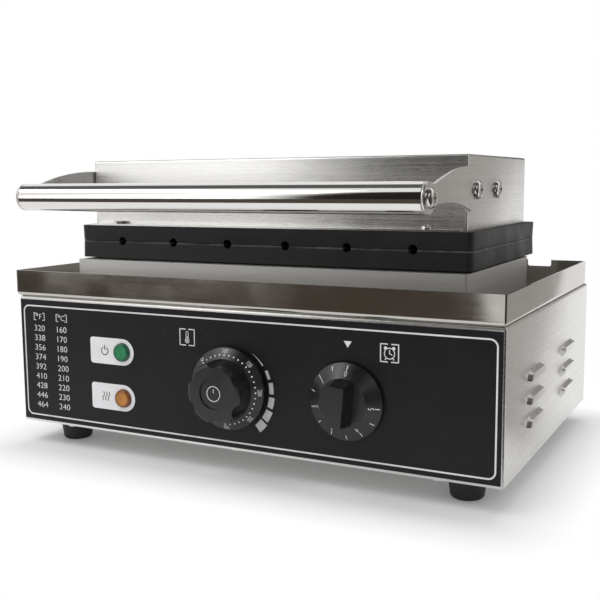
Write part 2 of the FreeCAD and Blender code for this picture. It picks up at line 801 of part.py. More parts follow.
def moulding_plate(label, face, height, upward):
    """Cast plate with stick-waffle cavities, seen from the face it shares with its twin."""
    sign = "" if upward else "-"
    body = new_body(label)
    sketch = new_sketch(body, "XY_Plane", face)
    draw_rectangle(sketch, both(half_plate), (plate_front, plate_rear), "plate_corner")
    pad(body, sketch, height, reverse=not upward, draft="plate_draft")
    first = "(-cavity_pitch * (cavity_count - 1) / 2)"
    front = f"({plate_front} + plate_front_wall)"
    sketch = new_sketch(body, "XY_Plane", face)
    draw_rectangle(sketch, (f"({first} - cavity_width / 2)", f"({first} + cavity_width / 2)"),
                   (front, f"({front} + cavity_length)"), "cavity_corner")
    cavity = pocket(body, sketch, "cavity_depth", along=upward, draft="-cavity_draft")
    sketch = new_sketch(body, "XZ_Plane", f"-({plate_front} - plate_corner)")
    draw_circle(sketch, first, parting, "stick_diameter / 2")
    groove = pocket(body, sketch, "plate_corner + plate_front_wall + stick_diameter / 2")
    cavities = row_of(body, "X_Axis", "cavity_count", "cavity_pitch * (cavity_count - 1)")
    cavities.Originals = [cavity, groove]
    body.Tip = cavities
    doc.recompute()
    left = f"({first} - stud_pitch * (stud_columns - 1) / 2)"
    near = f"({front} + cavity_length / 2 - stud_pitch * (stud_rows - 1) / 2)"
    sketch = new_sketch(body, "XY_Plane", f"({face} + {sign}cavity_depth)")
    draw_rectangle(sketch, (f"({left} - stud_side / 2)", f"({left} + stud_side / 2)"),
                   (f"({near} - stud_side / 2)", f"({near} + stud_side / 2)"))
    stud = pad(body, sketch, "stud_height", reverse=upward, draft="-stud_draft")
    studs = body.newObject("PartDesign::MultiTransform", label + "_studs")
    studs.Originals = [stud]
    studs.Transformations = [
        row_of(body, "Y_Axis", "stud_rows", "stud_pitch * (stud_rows - 1)"),
        row_of(body, "X_Axis", "stud_columns", "stud_pitch * (stud_columns - 1)"),
        row_of(body, "X_Axis", "cavity_count", "cavity_pitch * (cavity_count - 1)"),
    ]
    body.Tip = studs
    doc.recompute()
    return body


lower = moulding_plate("lower_plate", slab_top, "lower_plate_height", False)
sketch = new_sketch(lower, "XY_Plane", slab_low)
draw_rectangle(sketch, both(f"({half_plate} - plate_foot_inset)"),
               (f"({plate_front} + plate_foot_inset)", f"({plate_rear} - plate_foot_inset)"), "plate_corner")
pad(lower, sketch, "plate_foot_height", reverse=True)
sub_part(lower, "lower_plate")

flange_screw_x = f"({half_hood} - flange_screw_inset)"
flange_screw_y = f"({hood_front} - hood_flange / 2)"
upper = moulding_plate("upper_plate", lid_low, "upper_plate_height", True)
sketch = new_sketch(upper, "XY_Plane", lid_plate_top)
for x in both(flange_screw_x):
    draw_circle(sketch, x, flange_screw_y, pan_hole)
pocket(upper, sketch, "pan_shank_length")
sub_part(upper, "upper_plate")


def heater(label, seat, sign):
    """Serpentine tubular element on a plate's back, its clamp and its wool blanket."""
    level = f"({seat} {sign} element_diameter / 2)"
    half = f"({opening_x[1]} - element_end_room - element_diameter / 2)"
    nearest = f"({opening_y[0]} + element_side_room + element_diameter / 2)"
    farthest = f"({opening_y[1]} - element_side_room - element_diameter / 2)"
    pitch = f"(({farthest} - {nearest}) / (element_runs - 1))"
    bend = f"(({pitch} - element_bend_flat) / 2)"
    serpentine = []
    for step in range(int(amount_of("element_runs"))):
        run = f"({nearest} + {step} * {pitch})"
        ends = both(half) if step % 2 == 0 else both(half)[::-1]
        serpentine += [(end, run, bend) for end in ends]
    serpentine[0] = serpentine[0][:2]
    serpentine[-1] = serpentine[-1][:2]
    element = new_body(label + "_heating_element")
    path = new_sketch(element, "XY_Plane", level)
    draw(path, serpentine, closed=False)
    section = new_sketch(element, "YZ_Plane", f"-{half}")
    draw_circle(section, nearest, level, "element_diameter / 2")
    tube = element.newObject("PartDesign::AdditivePipe", label + "_tube")
    tube.Profile = section
    tube.Spine = path
    doc.recompute()
    sub_part(element, label + "_heating_element")
    clamp_x = both(f"({half} + clamp_margin)")
    clamp_y = (f"({nearest} - clamp_margin)", f"({farthest} + clamp_margin)")
    marks = [f"({seat} {sign} element_diameter)", f"({seat} {sign} (element_diameter + clamp_gauge))",
             f"({seat} {sign} (element_diameter + clamp_gauge + wool_height))"]
    for name, ends in (("_heater_clamp", marks[:2]), ("_heater_wool", marks[1:])):
        span = ends if sign == "+" else ends[::-1]
        sub_part(block(label + name, clamp_x, clamp_y, span), label + name)


heater("lower", riser_top, "-")
heater("upper", lid_plate_top, "+")

# Thermostat and timer behind the front wall, their fixing nuts and shafts
neck_front = f"({panel_face} - nut_height - neck_tail)"
neck_length = f"({wall_inside} + neck_tail - {neck_front})"
shaft_hole = "(shaft_diameter / 2 + running_gap)"
shaft_start = f"({wall_inside} + shaft_seat)"


def control(label, case, x):
    """Control whose threaded neck passes through the wall and guides its shaft."""
    neck = rod(label + "_neck", "+y", "neck_diameter / 2", neck_length, x, neck_front, knob_z)
    bore = rod(label + "_bore", "+y", shaft_hole, f"{shaft_start} + running_gap - {neck_front}",
               x, neck_front, knob_z)
    return sub_part(cut(label, joined(label + "_solid", [case, neck]), [bore]), label)


thermostat_top = f"({knob_z} + thermostat_height / 2)"
thermostat_rear = f"({wall_inside} + thermostat_depth)"
case = block("thermostat_case",
             ("temperature_offset - thermostat_width / 2", "temperature_offset + thermostat_width / 2"),
             (wall_inside, thermostat_rear), (f"{knob_z} - thermostat_height / 2", thermostat_top))
control("thermostat_body", case, "temperature_offset")
case = rod("timer_case", "+y", "timer_case_diameter / 2", "timer_case_depth", "timer_offset",
           wall_inside, knob_z)
control("timer_body", case, "timer_offset")

# Sensing bulb held against the lower plate, fed by its capillary from the thermostat
bulb_y = f"({riser_front} + bulb_set_back)"
bulb_z = f"({riser_top} - bulb_diameter / 2)"
thin = "(capillary_diameter / 2)"
bulb_x = "(temperature_offset + bulb_lead)"
lead_z = f"({knob_z} + thermostat_height / 4)"
lead = [
    rod("capillary_back", "+y", thin, f"{bulb_y} - {thermostat_rear}", "temperature_offset",
        thermostat_rear, lead_z),
    rod("capillary_up", "+z", thin, f"{bulb_z} - {lead_z}", "temperature_offset", bulb_y, lead_z),
    rod("capillary_across", "+x", thin, "bulb_lead", "temperature_offset", bulb_y, bulb_z),
    rod("bulb", "+x", "bulb_diameter / 2", "bulb_length", bulb_x, bulb_y, bulb_z),
]
for level in (lead_z, bulb_z):
    bend = bind(doc.addObject("Part::Sphere", "capillary_bend"), Radius=thin)
    lead.append(place(bend, "temperature_offset", bulb_y, level))
sub_part(joined("thermostat_bulb", lead), "thermostat_bulb")

nut = new_body("nut_form")
sketch = new_sketch(nut, "XY_Plane")
draw_hexagon(sketch, "nut_flats")
draw_circle(sketch, "0", "0", "(neck_diameter / 2 + running_gap)")
pad(nut, sketch, "nut_height")
copies("control_nuts", nut, [(x, panel_face, knob_z) for x in ("temperature_offset", "timer_offset")], "-y")

# Temperature knob: conical skirt, tapered grip with thumb flutes, and a sunk disc
bore_end = "(knob_recess_depth + knob_bore_depth)"
knob_back = [("0", "-knob_recess_depth"), ("knob_recess_diameter / 2", "-knob_recess_depth"),
             ("knob_recess_diameter / 2", "0")]


def bore_knob(knob):
    """Bore a knob from its rear for its shaft."""
    sketch = new_sketch(knob, "XZ_Plane")
    draw_circle(sketch, "0", "0", shaft_hole)
    pocket(knob, sketch, bore_end, along=True)


knob = new_body("temperature_knob")
sketch = new_sketch(knob, "XY_Plane")
draw(sketch, knob_back + [
    ("skirt_diameter / 2", "0"), ("skirt_diameter / 2", "-skirt_edge"),
    ("grip_diameter / 2", "-skirt_height"), ("grip_front_diameter / 2", "-grip_height", "grip_edge"),
    ("grip_disc_diameter / 2", "-grip_height"),
    ("grip_disc_diameter / 2", "-(grip_height - grip_disc_drop)"), ("0", "-(grip_height - grip_disc_drop)")])
revolve(knob, sketch)
sketch = new_sketch(knob, "XZ_Plane", "grip_height")
draw_circle(sketch, "0", "grip_front_diameter / 2 - flute_depth + flute_radius", "flute_radius")
flute = pocket(knob, sketch, "grip_height - skirt_height", draft="-flute_draft")
flutes = knob.newObject("PartDesign::PolarPattern", "temperature_flutes")
flutes.Originals = [flute]
flutes.Axis = (origin_feature(knob, "Y_Axis"), [""])
flutes.Angle = 360
bind(flutes, Occurrences="flute_count")
knob.Tip = flutes
doc.recompute()
bore_knob(knob)
sub_part(place(knob, "temperature_offset", knob_rear, knob_z), "temperature_knob")

# Timer knob: conical skirt with a straight bar grip, at rest a little past its mark
knob = new_body("timer_knob")
sketch = new_sketch(knob, "XY_Plane")
draw(sketch, knob_back + [
    ("timer_skirt_diameter / 2", "0"), ("timer_skirt_diameter / 2", "-timer_skirt_edge"),
    ("timer_plateau_diameter / 2", "-timer_skirt_height"), ("0", "-timer_skirt_height")])
revolve(knob, sketch)
sketch = new_sketch(knob, "XZ_Plane", "timer_skirt_height")
draw_rectangle(sketch, both("(timer_bar_width / 2)"), both("(timer_bar_length / 2)"), "timer_bar_corner")
pad(knob, sketch, "timer_bar_height", draft="-timer_bar_draft")
bore_knob(knob)
knob.Placement = FreeCAD.Placement(FreeCAD.Vector(), FreeCAD.Rotation(FreeCAD.Vector(0, 1, 0), 1))
knob.setExpression("Placement.Rotation.Angle", tie("timer_turn"))
sub_part(place(knob, "timer_offset", knob_rear, knob_z), "timer_knob")

for label, x in (("thermostat_shaft", "temperature_offset"), ("timer_shaft", "timer_offset")):
    length = f"{shaft_start} - {knob_rear} + {bore_end} - running_gap"
    shaft = rod(label, "-y", "shaft_diameter / 2", length, x, shaft_start, knob_z)
    sub_part(shaft, label)

# Indicator lamps: lens in front of the panel, lamp case behind the wall
lens = new_body("lens_form")
sketch = new_sketch(lens, "XZ_Plane")
lens_neck = "(lens_neck_diameter / 2)"
neck_drop = "-(panel_gauge + housing_gauge)"
draw(sketch, [("0", neck_drop), (lens_neck, neck_drop), (lens_neck, "0"), ("lens_diameter / 2", "0"),
              ("lens_diameter / 2", "lens_rise", "lens_edge"), ("0", "lens_rise")])
revolve(lens, sketch)
for label, level in zip(("power_lamp_lens", "heat_lamp_lens"), lamp_levels):
    copies(label, lens, [("-lamp_offset", panel_face, level)], "-y")
case = bind(doc.addObject("Part::Cylinder", "lamp_case_form"), Radius="lamp_case_diameter / 2",
            Height="lamp_case_length")
copies("lamp_cases", case, [("-lamp_offset", wall_inside, level) for level in lamp_levels], "+y")

# Mains gland in the rear panel, its locknut, and the terminal block inside
gland = new_body("cable_gland")
sketch = new_sketch(gland, "XY_Plane")
hole = "(gland_bore / 2)"
inner_end = "-(rear_gauge + gland_tail)"
draw(sketch, [(hole, inner_end), ("gland_thread / 2", inner_end), ("gland_thread / 2", "0"),
              ("gland_flange_diameter / 2", "0"), ("gland_flange_diameter / 2", "gland_flange_height"),
              ("gland_nut_diameter / 2", "gland_flange_height"),
              ("gland_nut_diameter / 2", "gland_reach - gland_nose_length"),
              ("gland_nose_diameter / 2", "gland_reach"),
              (hole, "gland_reach")])
revolve(gland, sketch)
sub_part(place(gland, "gland_offset", rear_face, gland_z), "cable_gland")
locknut = new_body("gland_locknut")
sketch = new_sketch(locknut, "XZ_Plane")
draw_hexagon(sketch, "locknut_diameter")
draw_circle(sketch, "0", "0", "(gland_thread / 2 + running_gap)")
pad(locknut, sketch, "locknut_height")
sub_part(place(locknut, "gland_offset", housing_rear, gland_z), "gland_locknut")

terminal_rear = f"({housing_rear} - terminal_room)"
terminal_z = bottom_face
terminal_front = f"({terminal_rear} - terminal_depth)"
terminal_solid = block("terminal_solid",
                       ("gland_offset - terminal_length / 2", "gland_offset + terminal_length / 2"),
                       (terminal_front, terminal_rear), (terminal_z, f"{terminal_z} + terminal_height"))
ways = []
for step in (-1, 0, 1):
    ways.append(rod("terminal_way", "+y", "terminal_bore / 2", "terminal_depth",
                    f"gland_offset + {step} * terminal_pitch", terminal_front,
                    f"{terminal_z} + terminal_height / 2"))
sub_part(cut("terminal_block", terminal_solid, ways), "terminal_block")

# Hood of the lid: deep folded cover with a lip turned out along its front
hood = new_body("upper_hood")
sketch = new_sketch(hood, "XY_Plane", lid_plate_top)
draw_rectangle(sketch, both(half_hood), (hood_front, hood_rear), "hood_corner")
feature = pad(hood, sketch, "hood_height")
hood_at = amount_of(hood_top) - near_enough
round_edges(hood, feature, "hood_bend", lambda b: b.ZMin > hood_at)
sketch = new_sketch(hood, "XY_Plane", lid_plate_top)
draw_rectangle(sketch, both(f"({half_hood} - hood_gauge)"),
               (f"({hood_front} + hood_gauge)", f"({hood_rear} - hood_gauge)"))
pocket(hood, sketch, "hood_height - hood_gauge", along=True)
sketch = new_sketch(hood, "XY_Plane", lid_plate_top)
draw_rectangle(sketch, both(f"({half_hood} - hood_corner)"),
               (f"({hood_front} - hood_flange)", f"({hood_front} + hood_gauge / 2)"))
pad(hood, sketch, "hood_gauge")
sketch = new_sketch(hood, "XY_Plane", f"({lid_plate_top} + hood_gauge)")
for x in both(flange_screw_x):
    draw_circle(sketch, x, flange_screw_y, pan_hole)
pocket(hood, sketch, "2 * hood_gauge")
arm_screws = [(screw_y, screw_z), (f"({screw_y} + arm_screw_pitch)", screw_z)]
for side in (1, -1):
    sketch = new_sketch(hood, "YZ_Plane", f"{side} * {half_hood}")
    for y, z in arm_screws:
        draw_circle(sketch, y, z, button_hole)
    pocket(hood, sketch, "2 * hood_gauge", along=side < 0)
lid_screw_z = f"({hinge_z} + lid_flange_rise - pan_head_diameter)"
lid_screw_x = "(lid_flange_reach - pan_head_diameter / 2 - screw_edge_room)"
lid_screws = []
for side in (-1, 1):
    for step in (-1, 1):
        lid_screws.append((f"({side} * hinge_spread / 2 + {step} * {lid_screw_x})", lid_screw_z))
sketch = new_sketch(hood, "XZ_Plane", f"-{hood_rear}")
for x, z in lid_screws:
    draw_circle(sketch, x, z, pan_hole)
pocket(hood, sketch, "2 * hood_gauge", along=True)
sub_part(hood, "upper_hood")

# Handle arms: cut profile met with a strip that steps inward to the end of the bar
profile = new_body("arm_profile")
tail_y = f"({screw_y} + arm_screw_pitch + arm_tail_radius)"
tail_bend = "(arm_tail_radius - arm_tail_flat / 2)"
sketch = new_sketch(profile, "YZ_Plane", f"({tab_inside} - arm_gauge)")
draw(sketch, [(bar_y, f"({bar_z} - arm_neck / 2)"),
              (f"({bar_y} + arm_arch_reach)", f"({bar_z} - arm_arch_drop)", "arm_arch_bend"),
              (f"({hood_front} + arm_heel_back)", f"({screw_z} - arm_heel_drop)", "arm_heel_bend"),
              (tail_y, f"({screw_z} - arm_tail_radius)", tail_bend),
              (tail_y, f"({screw_z} + arm_tail_radius)", tail_bend),
              (f"({hood_front} + arm_shoulder_back)", f"({screw_z} + arm_shoulder_rise)",
               "arm_shoulder_bend"),
              (bar_y, f"({bar_z} + arm_neck / 2)")])
pad(profile, sketch, "3 * arm_gauge + arm_joggle")
sketch = new_sketch(profile, "YZ_Plane", f"({tab_inside} - arm_gauge)")
draw_circle(sketch, bar_y, bar_z, bar_radius)
pad(profile, sketch, "3 * arm_gauge + arm_joggle")
sketch = new_sketch(profile, "YZ_Plane", f"({tab_inside} - arm_gauge)")
for y, z in arm_screws + [(bar_y, bar_z)]:
    draw_circle(sketch, y, z, button_hole)
pocket(profile, sketch, "3 * arm_gauge + arm_joggle", along=True)
strip = new_body("arm_strip")
sketch = new_sketch(strip, "XY_Plane", parting)
joggle_rear = f"({bar_y} + arm_joggle_start)"
joggle_front = f"({joggle_rear} - arm_joggle_run)"
front_end = f"({bar_y} - bar_diameter)"
rear_end = f"({tail_y} + arm_tail_radius)"
outside = f"({half_hood} + arm_gauge)"
draw(sketch, [(tab_inside, front_end), (tab_outside, front_end), (tab_outside, joggle_front),
              (outside, joggle_rear), (outside, rear_end), (half_hood, rear_end),
              (half_hood, joggle_rear), (tab_inside, joggle_front)])
pad(strip, sketch, "arm_screw_rise + bar_rise")
arm = doc.addObject("Part::Common", "arm_form")
arm.Base = profile
arm.Tool = strip
mirrored_arm = doc.addObject("Part::Mirroring", "mirrored_arm_form")
mirrored_arm.Source = arm
mirrored_arm.Normal = FreeCAD.Vector(1, 0, 0)
copies("handle_arm_right", arm, [("0", "0", "0")])
copies("handle_arm_left", mirrored_arm, [("0", "0", "0")])

# Handle bar: tube between the arms' tabs, with a tapped plug in each end
bar = new_body("handle_bar")
sketch = new_sketch(bar, "YZ_Plane", f"-{tab_inside}")
draw_circle(sketch, bar_y, bar_z, bar_radius)
draw_circle(sketch, bar_y, bar_z, f"({bar_radius} - bar_wall)")
pad(bar, sketch, f"2 * {tab_inside}")
sub_part(bar, "handle_bar")
plug = new_body("plug_form")
sketch = new_sketch(plug, "XY_Plane")
draw_circle(sketch, "0", "0", f"({bar_radius} - bar_wall - running_gap)")
draw_circle(sketch, "0", "0", "(button_shank_diameter / 2 + running_gap)")
pad(plug, sketch, "plug_length", reverse=True)
copies("handle_plugs", plug, [(tab_inside, bar_y, bar_z, "+x"), (f"-{tab_inside}", bar_y, bar_z, "-x")])
button = screw_form("button_screw_form", "button", "button_shank_length")
copies("handle_end_screws", button, [(tab_outside, bar_y, bar_z, "+x"),
                                     (f"-{tab_outside}", bar_y, bar_z, "-x")])
copies("arm_screws", button, [(outside, y, z, "+x") for y, z in arm_screws]
       + [(f"-{outside}", y, z, "-x") for y, z in arm_screws])
flange_face = f"({lid_plate_top} + hood_gauge)"
copies("flange_screws", pan, [(x, flange_screw_y, flange_face) for x in both(flange_screw_x)])
copies("rear_panel_screws", pan, [(x, rear_face, z) for x, z in rear_screws], "+y")
copies("bottom_screws", pan, [(x, y, "foot_height") for x, y in bottom_screws], "-z")

# Fixed hinge brackets: two ears and a stop web standing on the tray floor
bracket_half = "(lid_ear_gauge / 2 + ear_gap + ear_gauge)"
bracket = new_body("bracket_form")
sketch = new_sketch(bracket, "YZ_Plane", f"-{bracket_half}")
ear_front = f"({hinge_y} - ear_radius)"
ear_top = f"({hinge_z} + ear_radius)"
draw(sketch, [(ear_front, tray_floor), (web_rear, tray_floor), (web_rear, ear_top),
              (ear_front, ear_top, "ear_radius")])
pad(bracket, sketch, f"2 * {bracket_half}")
sketch = new_sketch(bracket, "XY_Plane", tray_floor)
draw_rectangle(sketch, both(f"({bracket_half} + hinge_foot_reach)"), (ear_front, web_rear), "ear_gauge")
pad(bracket, sketch, "ear_gauge")
sketch = new_sketch(bracket, "XY_Plane", f"({hinge_z} + 2 * ear_radius)")
draw_rectangle(sketch, both("(lid_ear_gauge / 2 + ear_gap)"), (f"({ear_front} - ear_radius)", web_face))
pocket(bracket, sketch, f"{hinge_z} + 2 * ear_radius - {tray_floor} - ear_gauge")
sketch = new_sketch(bracket, "YZ_Plane", f"-{bracket_half}")
draw_circle(sketch, hinge_y, hinge_z, "(pin_diameter / 2 + running_gap)")
pocket(bracket, sketch, f"2 * {bracket_half}", along=True)
sketch = new_sketch(bracket, "XY_Plane", f"({tray_floor} + ear_gauge)")
for step in ("-", ""):
    draw_circle(sketch, f"{step}{hinge_foot_x}", hinge_y, pan_hole)
pocket(bracket, sketch, "2 * ear_gauge")

# Lid hinge leaves: a flange on the hood's rear wall with an ear between the fixed ears
leaf = new_body("leaf_form")
leaf_half = "(lid_ear_gauge / 2)"
leaf_bend = "(ear_radius - ear_flat / 2)"
flange_rear = f"({hood_rear} + lid_flange_gauge)"
sketch = new_sketch(leaf, "YZ_Plane", f"-{leaf_half}")
draw(sketch, [(hood_rear, f"({hinge_z} - lid_ear_drop)"), (flange_rear, f"({hinge_z} - ear_radius)"),
              (f"({hinge_y} + ear_radius)", f"({hinge_z} - ear_radius)", leaf_bend),
              (f"({hinge_y} + ear_radius)", f"({hinge_z} + ear_radius)", leaf_bend),
              (flange_rear, f"({hinge_z} + ear_radius)"), (hood_rear, f"({hinge_z} + ear_radius)")])
pad(leaf, sketch, "lid_ear_gauge")
sketch = new_sketch(leaf, "XZ_Plane", f"-{hood_rear}")
draw_rectangle(sketch, both("lid_flange_reach"),
               (f"({hinge_z} - lid_ear_drop)", f"({hinge_z} + lid_flange_rise)"), "lid_flange_gauge")
pad(leaf, sketch, "lid_flange_gauge", reverse=True)
sketch = new_sketch(leaf, "YZ_Plane", f"-{leaf_half}")
draw_circle(sketch, hinge_y, hinge_z, "(pin_diameter / 2 + running_gap)")
pocket(leaf, sketch, "lid_ear_gauge", along=True)
sketch = new_sketch(leaf, "XZ_Plane", f"-{flange_rear}")
for step in ("-", ""):
    draw_circle(sketch, f"{step}{lid_screw_x}", lid_screw_z, pan_hole)
pocket(leaf, sketch, "2 * lid_flange_gauge", along=True)
for side, x in (("left", "-hinge_spread / 2"), ("right", "hinge_spread / 2")):
    copies(f"base_hinge_{side}", bracket, [(x, "0", "0")])
    copies(f"lid_hinge_{side}", leaf, [(x, "0", "0")])
copies("hinge_foot_screws", pan, [(x, y, f"({tray_floor} + ear_gauge)") for x, y in hinge_screws])
copies("lid_hinge_screws", pan, [(x, flange_rear, z) for x, z in lid_screws], "+y")

# Hinge pins with a head outside and a retaining ring inside
pin = new_body("pin_form")
sketch = new_sketch(pin, "XZ_Plane")
pin_end = f"-(2 * {bracket_half} + pin_tail)"
draw(sketch, [("0", pin_end), ("pin_diameter / 2", pin_end), ("pin_diameter / 2", "0"),
              ("pin_head_diameter / 2", "0"), ("pin_head_diameter / 2", "pin_head_height"),
              ("0", "pin_head_height")])
revolve(pin, sketch)
ring = new_body("ring_form")
sketch = new_sketch(ring, "XY_Plane")
draw_circle(sketch, "0", "0", "pin_head_diameter / 2")
draw_circle(sketch, "0", "0", "(pin_diameter / 2 + running_gap)")
pad(ring, sketch, "ring_gauge")
pin_seats = []
ring_seats = []
for sign, direction, inward in (("", "+x", "-x"), ("-", "-x", "+x")):
    pin_seats.append((f"{sign}(hinge_spread / 2 + {bracket_half})", hinge_y, hinge_z, direction))
    ring_seats.append((f"{sign}(hinge_spread / 2 - {bracket_half})", hinge_y, hinge_z, inward))
copies("hinge_pins", pin, pin_seats)
copies("hinge_rings", ring, ring_seats)

doc.recompute()
for item in doc.Objects:
    if "Invalid" in item.State or "Error" in item.State:
        raise RuntimeError(f"{item.Label} failed to build: {item.State}")
for item in pieces:
    if item.Shape.isNull() or not item.Shape.isValid() or not item.Shape.Solids:
        raise RuntimeError(f"{item.Label} has no valid solid")

os.makedirs("parts", exist_ok=True)
for item in pieces:
    item.Shape.exportStep(f"parts/{item.Label}.step")
print(f"{len(pieces)} sub-parts written")
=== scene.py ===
import bpy
import bmesh
import json
import math
from mathutils import Matrix, Vector


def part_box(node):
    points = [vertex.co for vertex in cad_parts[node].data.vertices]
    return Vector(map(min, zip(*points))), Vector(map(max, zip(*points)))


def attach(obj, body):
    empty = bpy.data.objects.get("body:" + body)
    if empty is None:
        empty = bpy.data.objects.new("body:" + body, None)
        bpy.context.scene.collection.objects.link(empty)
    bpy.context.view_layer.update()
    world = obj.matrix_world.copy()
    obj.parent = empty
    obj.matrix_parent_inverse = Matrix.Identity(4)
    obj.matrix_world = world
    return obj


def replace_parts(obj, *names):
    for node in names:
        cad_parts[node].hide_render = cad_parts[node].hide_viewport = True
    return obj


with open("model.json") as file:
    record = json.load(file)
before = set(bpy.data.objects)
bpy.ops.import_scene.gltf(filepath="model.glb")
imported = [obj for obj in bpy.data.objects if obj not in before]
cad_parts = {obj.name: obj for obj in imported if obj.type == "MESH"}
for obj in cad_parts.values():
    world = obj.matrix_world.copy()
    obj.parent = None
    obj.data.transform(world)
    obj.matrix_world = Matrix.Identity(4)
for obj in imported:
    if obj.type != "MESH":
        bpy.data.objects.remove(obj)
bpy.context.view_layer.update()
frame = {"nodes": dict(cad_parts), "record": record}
nodes = frame["nodes"]
mm = 0.001
print("frame loaded:", len(nodes), "nodes")


def middleOf(node):
    low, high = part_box(node)
    return (low + high) / 2


# camera, at the photograph's viewing angle
cameraView = {
    "place": (0.34147, -0.67422, 0.21027),
    "forward": (-0.45663, 0.88036, -0.12826),
    "roll": -0.00704,  # radians, camera tipped to its right
    "lens": 54.87,
    "sensor": 36.0,
}


def addCamera(view):
    data = bpy.data.cameras.new("photoCamera")
    data.lens = view["lens"]
    data.sensor_width = view["sensor"]
    data.clip_start = 0.01
    camera = bpy.data.objects.new("photoCamera", data)
    forward = Vector(view["forward"]).normalized()
    right = forward.cross(Vector((0, 0, 1))).normalized()
    up = right.cross(forward)
    c, s = math.cos(view["roll"]), math.sin(view["roll"])
    columns = (right * c + up * s, up * c - right * s, -forward)
    turn = Matrix([[column[row] for column in columns] for row in range(3)])
    camera.matrix_world = Matrix.Translation(view["place"]) @ turn.to_4x4()
    bpy.context.scene.collection.objects.link(camera)
    bpy.context.scene.camera = camera


addCamera(cameraView)
bpy.context.scene.view_settings.view_transform = "Standard"


# small helpers for shader trees
def add(tree, kind, values=None, **settings):
    node = tree.nodes.new("ShaderNode" + kind)
    for key, value in settings.items():
        setattr(node, key, value)
    for key, value in (values or {}).items():
        if isinstance(value, bpy.types.NodeSocket):
            tree.links.new(value, node.inputs[key])
        else:
            node.inputs[key].default_value = value
    return node


def calc(tree, operation, a, b=0.0):
    return add(tree, "Math", {0: a, 1: b}, operation=operation).outputs[0]


def vectorCalc(tree, operation, a, b=(0.0, 0.0, 0.0)):
    return add(tree, "VectorMath", {0: a, 1: b}, operation=operation).outputs[0]


def lengthOf(tree, vector):
    return add(tree, "VectorMath", {0: vector}, operation="LENGTH").outputs["Value"]


def remap(tree, value, low, high, start=0.0, end=1.0):
    spread = {"Value": value, "From Min": start, "From Max": end, "To Min": low, "To Max": high}
    return add(tree, "MapRange", spread).outputs["Result"]


def blend(tree, kind, mask, first, second):
    node = add(tree, "Mix", data_type={"Float": "FLOAT", "Color": "RGBA", "Vector": "VECTOR"}[kind])
    for key, value in (("Factor_Float", mask), ("A_" + kind, first), ("B_" + kind, second)):
        socket = [s for s in node.inputs if s.identifier == key][0]
        if isinstance(value, bpy.types.NodeSocket):
            tree.links.new(value, socket)
        else:
            socket.default_value = (*value, 1.0)
    return [s for s in node.outputs if s.identifier == "Result_" + kind][0]


def blendColor(tree, mask, first, second):
    return blend(tree, "Color", mask, first, second)


def newGroup(name, inputs, outputs):
    group = bpy.data.node_groups.new(name, "ShaderNodeTree")
    for label, value in inputs.items():
        socket = group.interface.new_socket(label, in_out="INPUT", socket_type="NodeSocketFloat")
        socket.default_value = value
    for label in outputs:
        group.interface.new_socket(label, in_out="OUTPUT", socket_type="NodeSocketFloat")
    return group, group.nodes.new("NodeGroupInput"), group.nodes.new("NodeGroupOutput")


def useGroup(tree, group, **values):
    node = tree.nodes.new("ShaderNodeGroup")
    node.node_tree = group
    for label, value in values.items():
        node.inputs[label].default_value = value
    return node.outputs


# faces that lie flatter than about 45 degrees
def levelFaces(tree, limit=0.7):
    upward = add(tree, "SeparateXYZ", {0: add(tree, "TexCoord").outputs["Normal"]}).outputs["Z"]
    return calc(tree, "GREATER_THAN", calc(tree, "ABSOLUTE", upward), limit)


# brushed grain: streaks that run level round the walls and along the width on flat faces
def makeBrushedGrain():
    group, given, result = newGroup("brushedGrain", {"along": 6.0, "across": 900.0}, ("grain", "streak"))
    where = add(group, "TexCoord").outputs["Object"]
    level = levelFaces(group)
    stretched = []
    for order in (("along", "along", "across"), ("along", "across", "along")):
        scale = add(group, "CombineXYZ", {i: given.outputs[word] for i, word in enumerate(order)})
        stretched.append(vectorCalc(group, "MULTIPLY", where, scale.outputs[0]))
    noises = {"grain": {"Scale": 1.0, "Detail": 3.0, "Roughness": 0.7},
              "streak": {"Scale": 0.12, "Detail": 2.0}}
    for label, noise in noises.items():
        found = [add(group, "TexNoise", {"Vector": spot, **noise}).outputs["Fac"] for spot in stretched]
        group.links.new(blend(group, "Float", level, *found), result.inputs[label])
    return group


# smudges: broad patches of handling marks and a few fine scuffs
def makeSmudges():
    group, given, result = newGroup("smudges", {"scale": 14.0, "scuffScale": 160.0}, ("smudge", "scuff"))
    where = add(group, "TexCoord").outputs["Object"]
    patches = {"Scale": given.outputs["scale"], "Detail": 5.0, "Roughness": 0.62}
    marks = {"Scale": given.outputs["scuffScale"], "Detail": 6.0, "Roughness": 0.75, "Distortion": 0.4}
    for label, noise, start, end in (("smudge", patches, 0.38, 0.66), ("scuff", marks, 0.6, 0.72)):
        found = add(group, "TexNoise", {"Vector": where, **noise}).outputs["Fac"]
        group.links.new(remap(group, found, 0.0, 1.0, start, end), result.inputs[label])
    return group


# moulded skin: fine pits of plastic, rubber and coating, and a broad cloud of tone
def makeMouldedSkin():
    group, given, result = newGroup("mouldedSkin", {"pitScale": 2600.0}, ("pits", "cloud"))
    where = add(group, "TexCoord").outputs["Object"]
    pits = add(group, "TexNoise", {"Vector": where, "Scale": given.outputs["pitScale"], "Detail": 2.0})
    cloud = add(group, "TexNoise", {"Vector": where, "Scale": 45.0, "Detail": 4.0, "Roughness": 0.6})
    group.links.new(pits.outputs["Fac"], result.inputs["pits"])
    group.links.new(remap(group, cloud.outputs["Fac"], 0.0, 1.0, 0.35, 0.7), result.inputs["cloud"])
    return group


brushedGrain = makeBrushedGrain()
smudges = makeSmudges()
mouldedSkin = makeMouldedSkin()
grainDepth = 0.0002
pitDepth = 0.0001


def newMaterial(name, **sockets):
    material = bpy.data.materials.new(name)
    material.use_nodes = True
    tree = material.node_tree
    shader = tree.nodes["Principled BSDF"]
    for label, value in sockets.items():
        shader.inputs[label].default_value = value
    return material, tree, shader


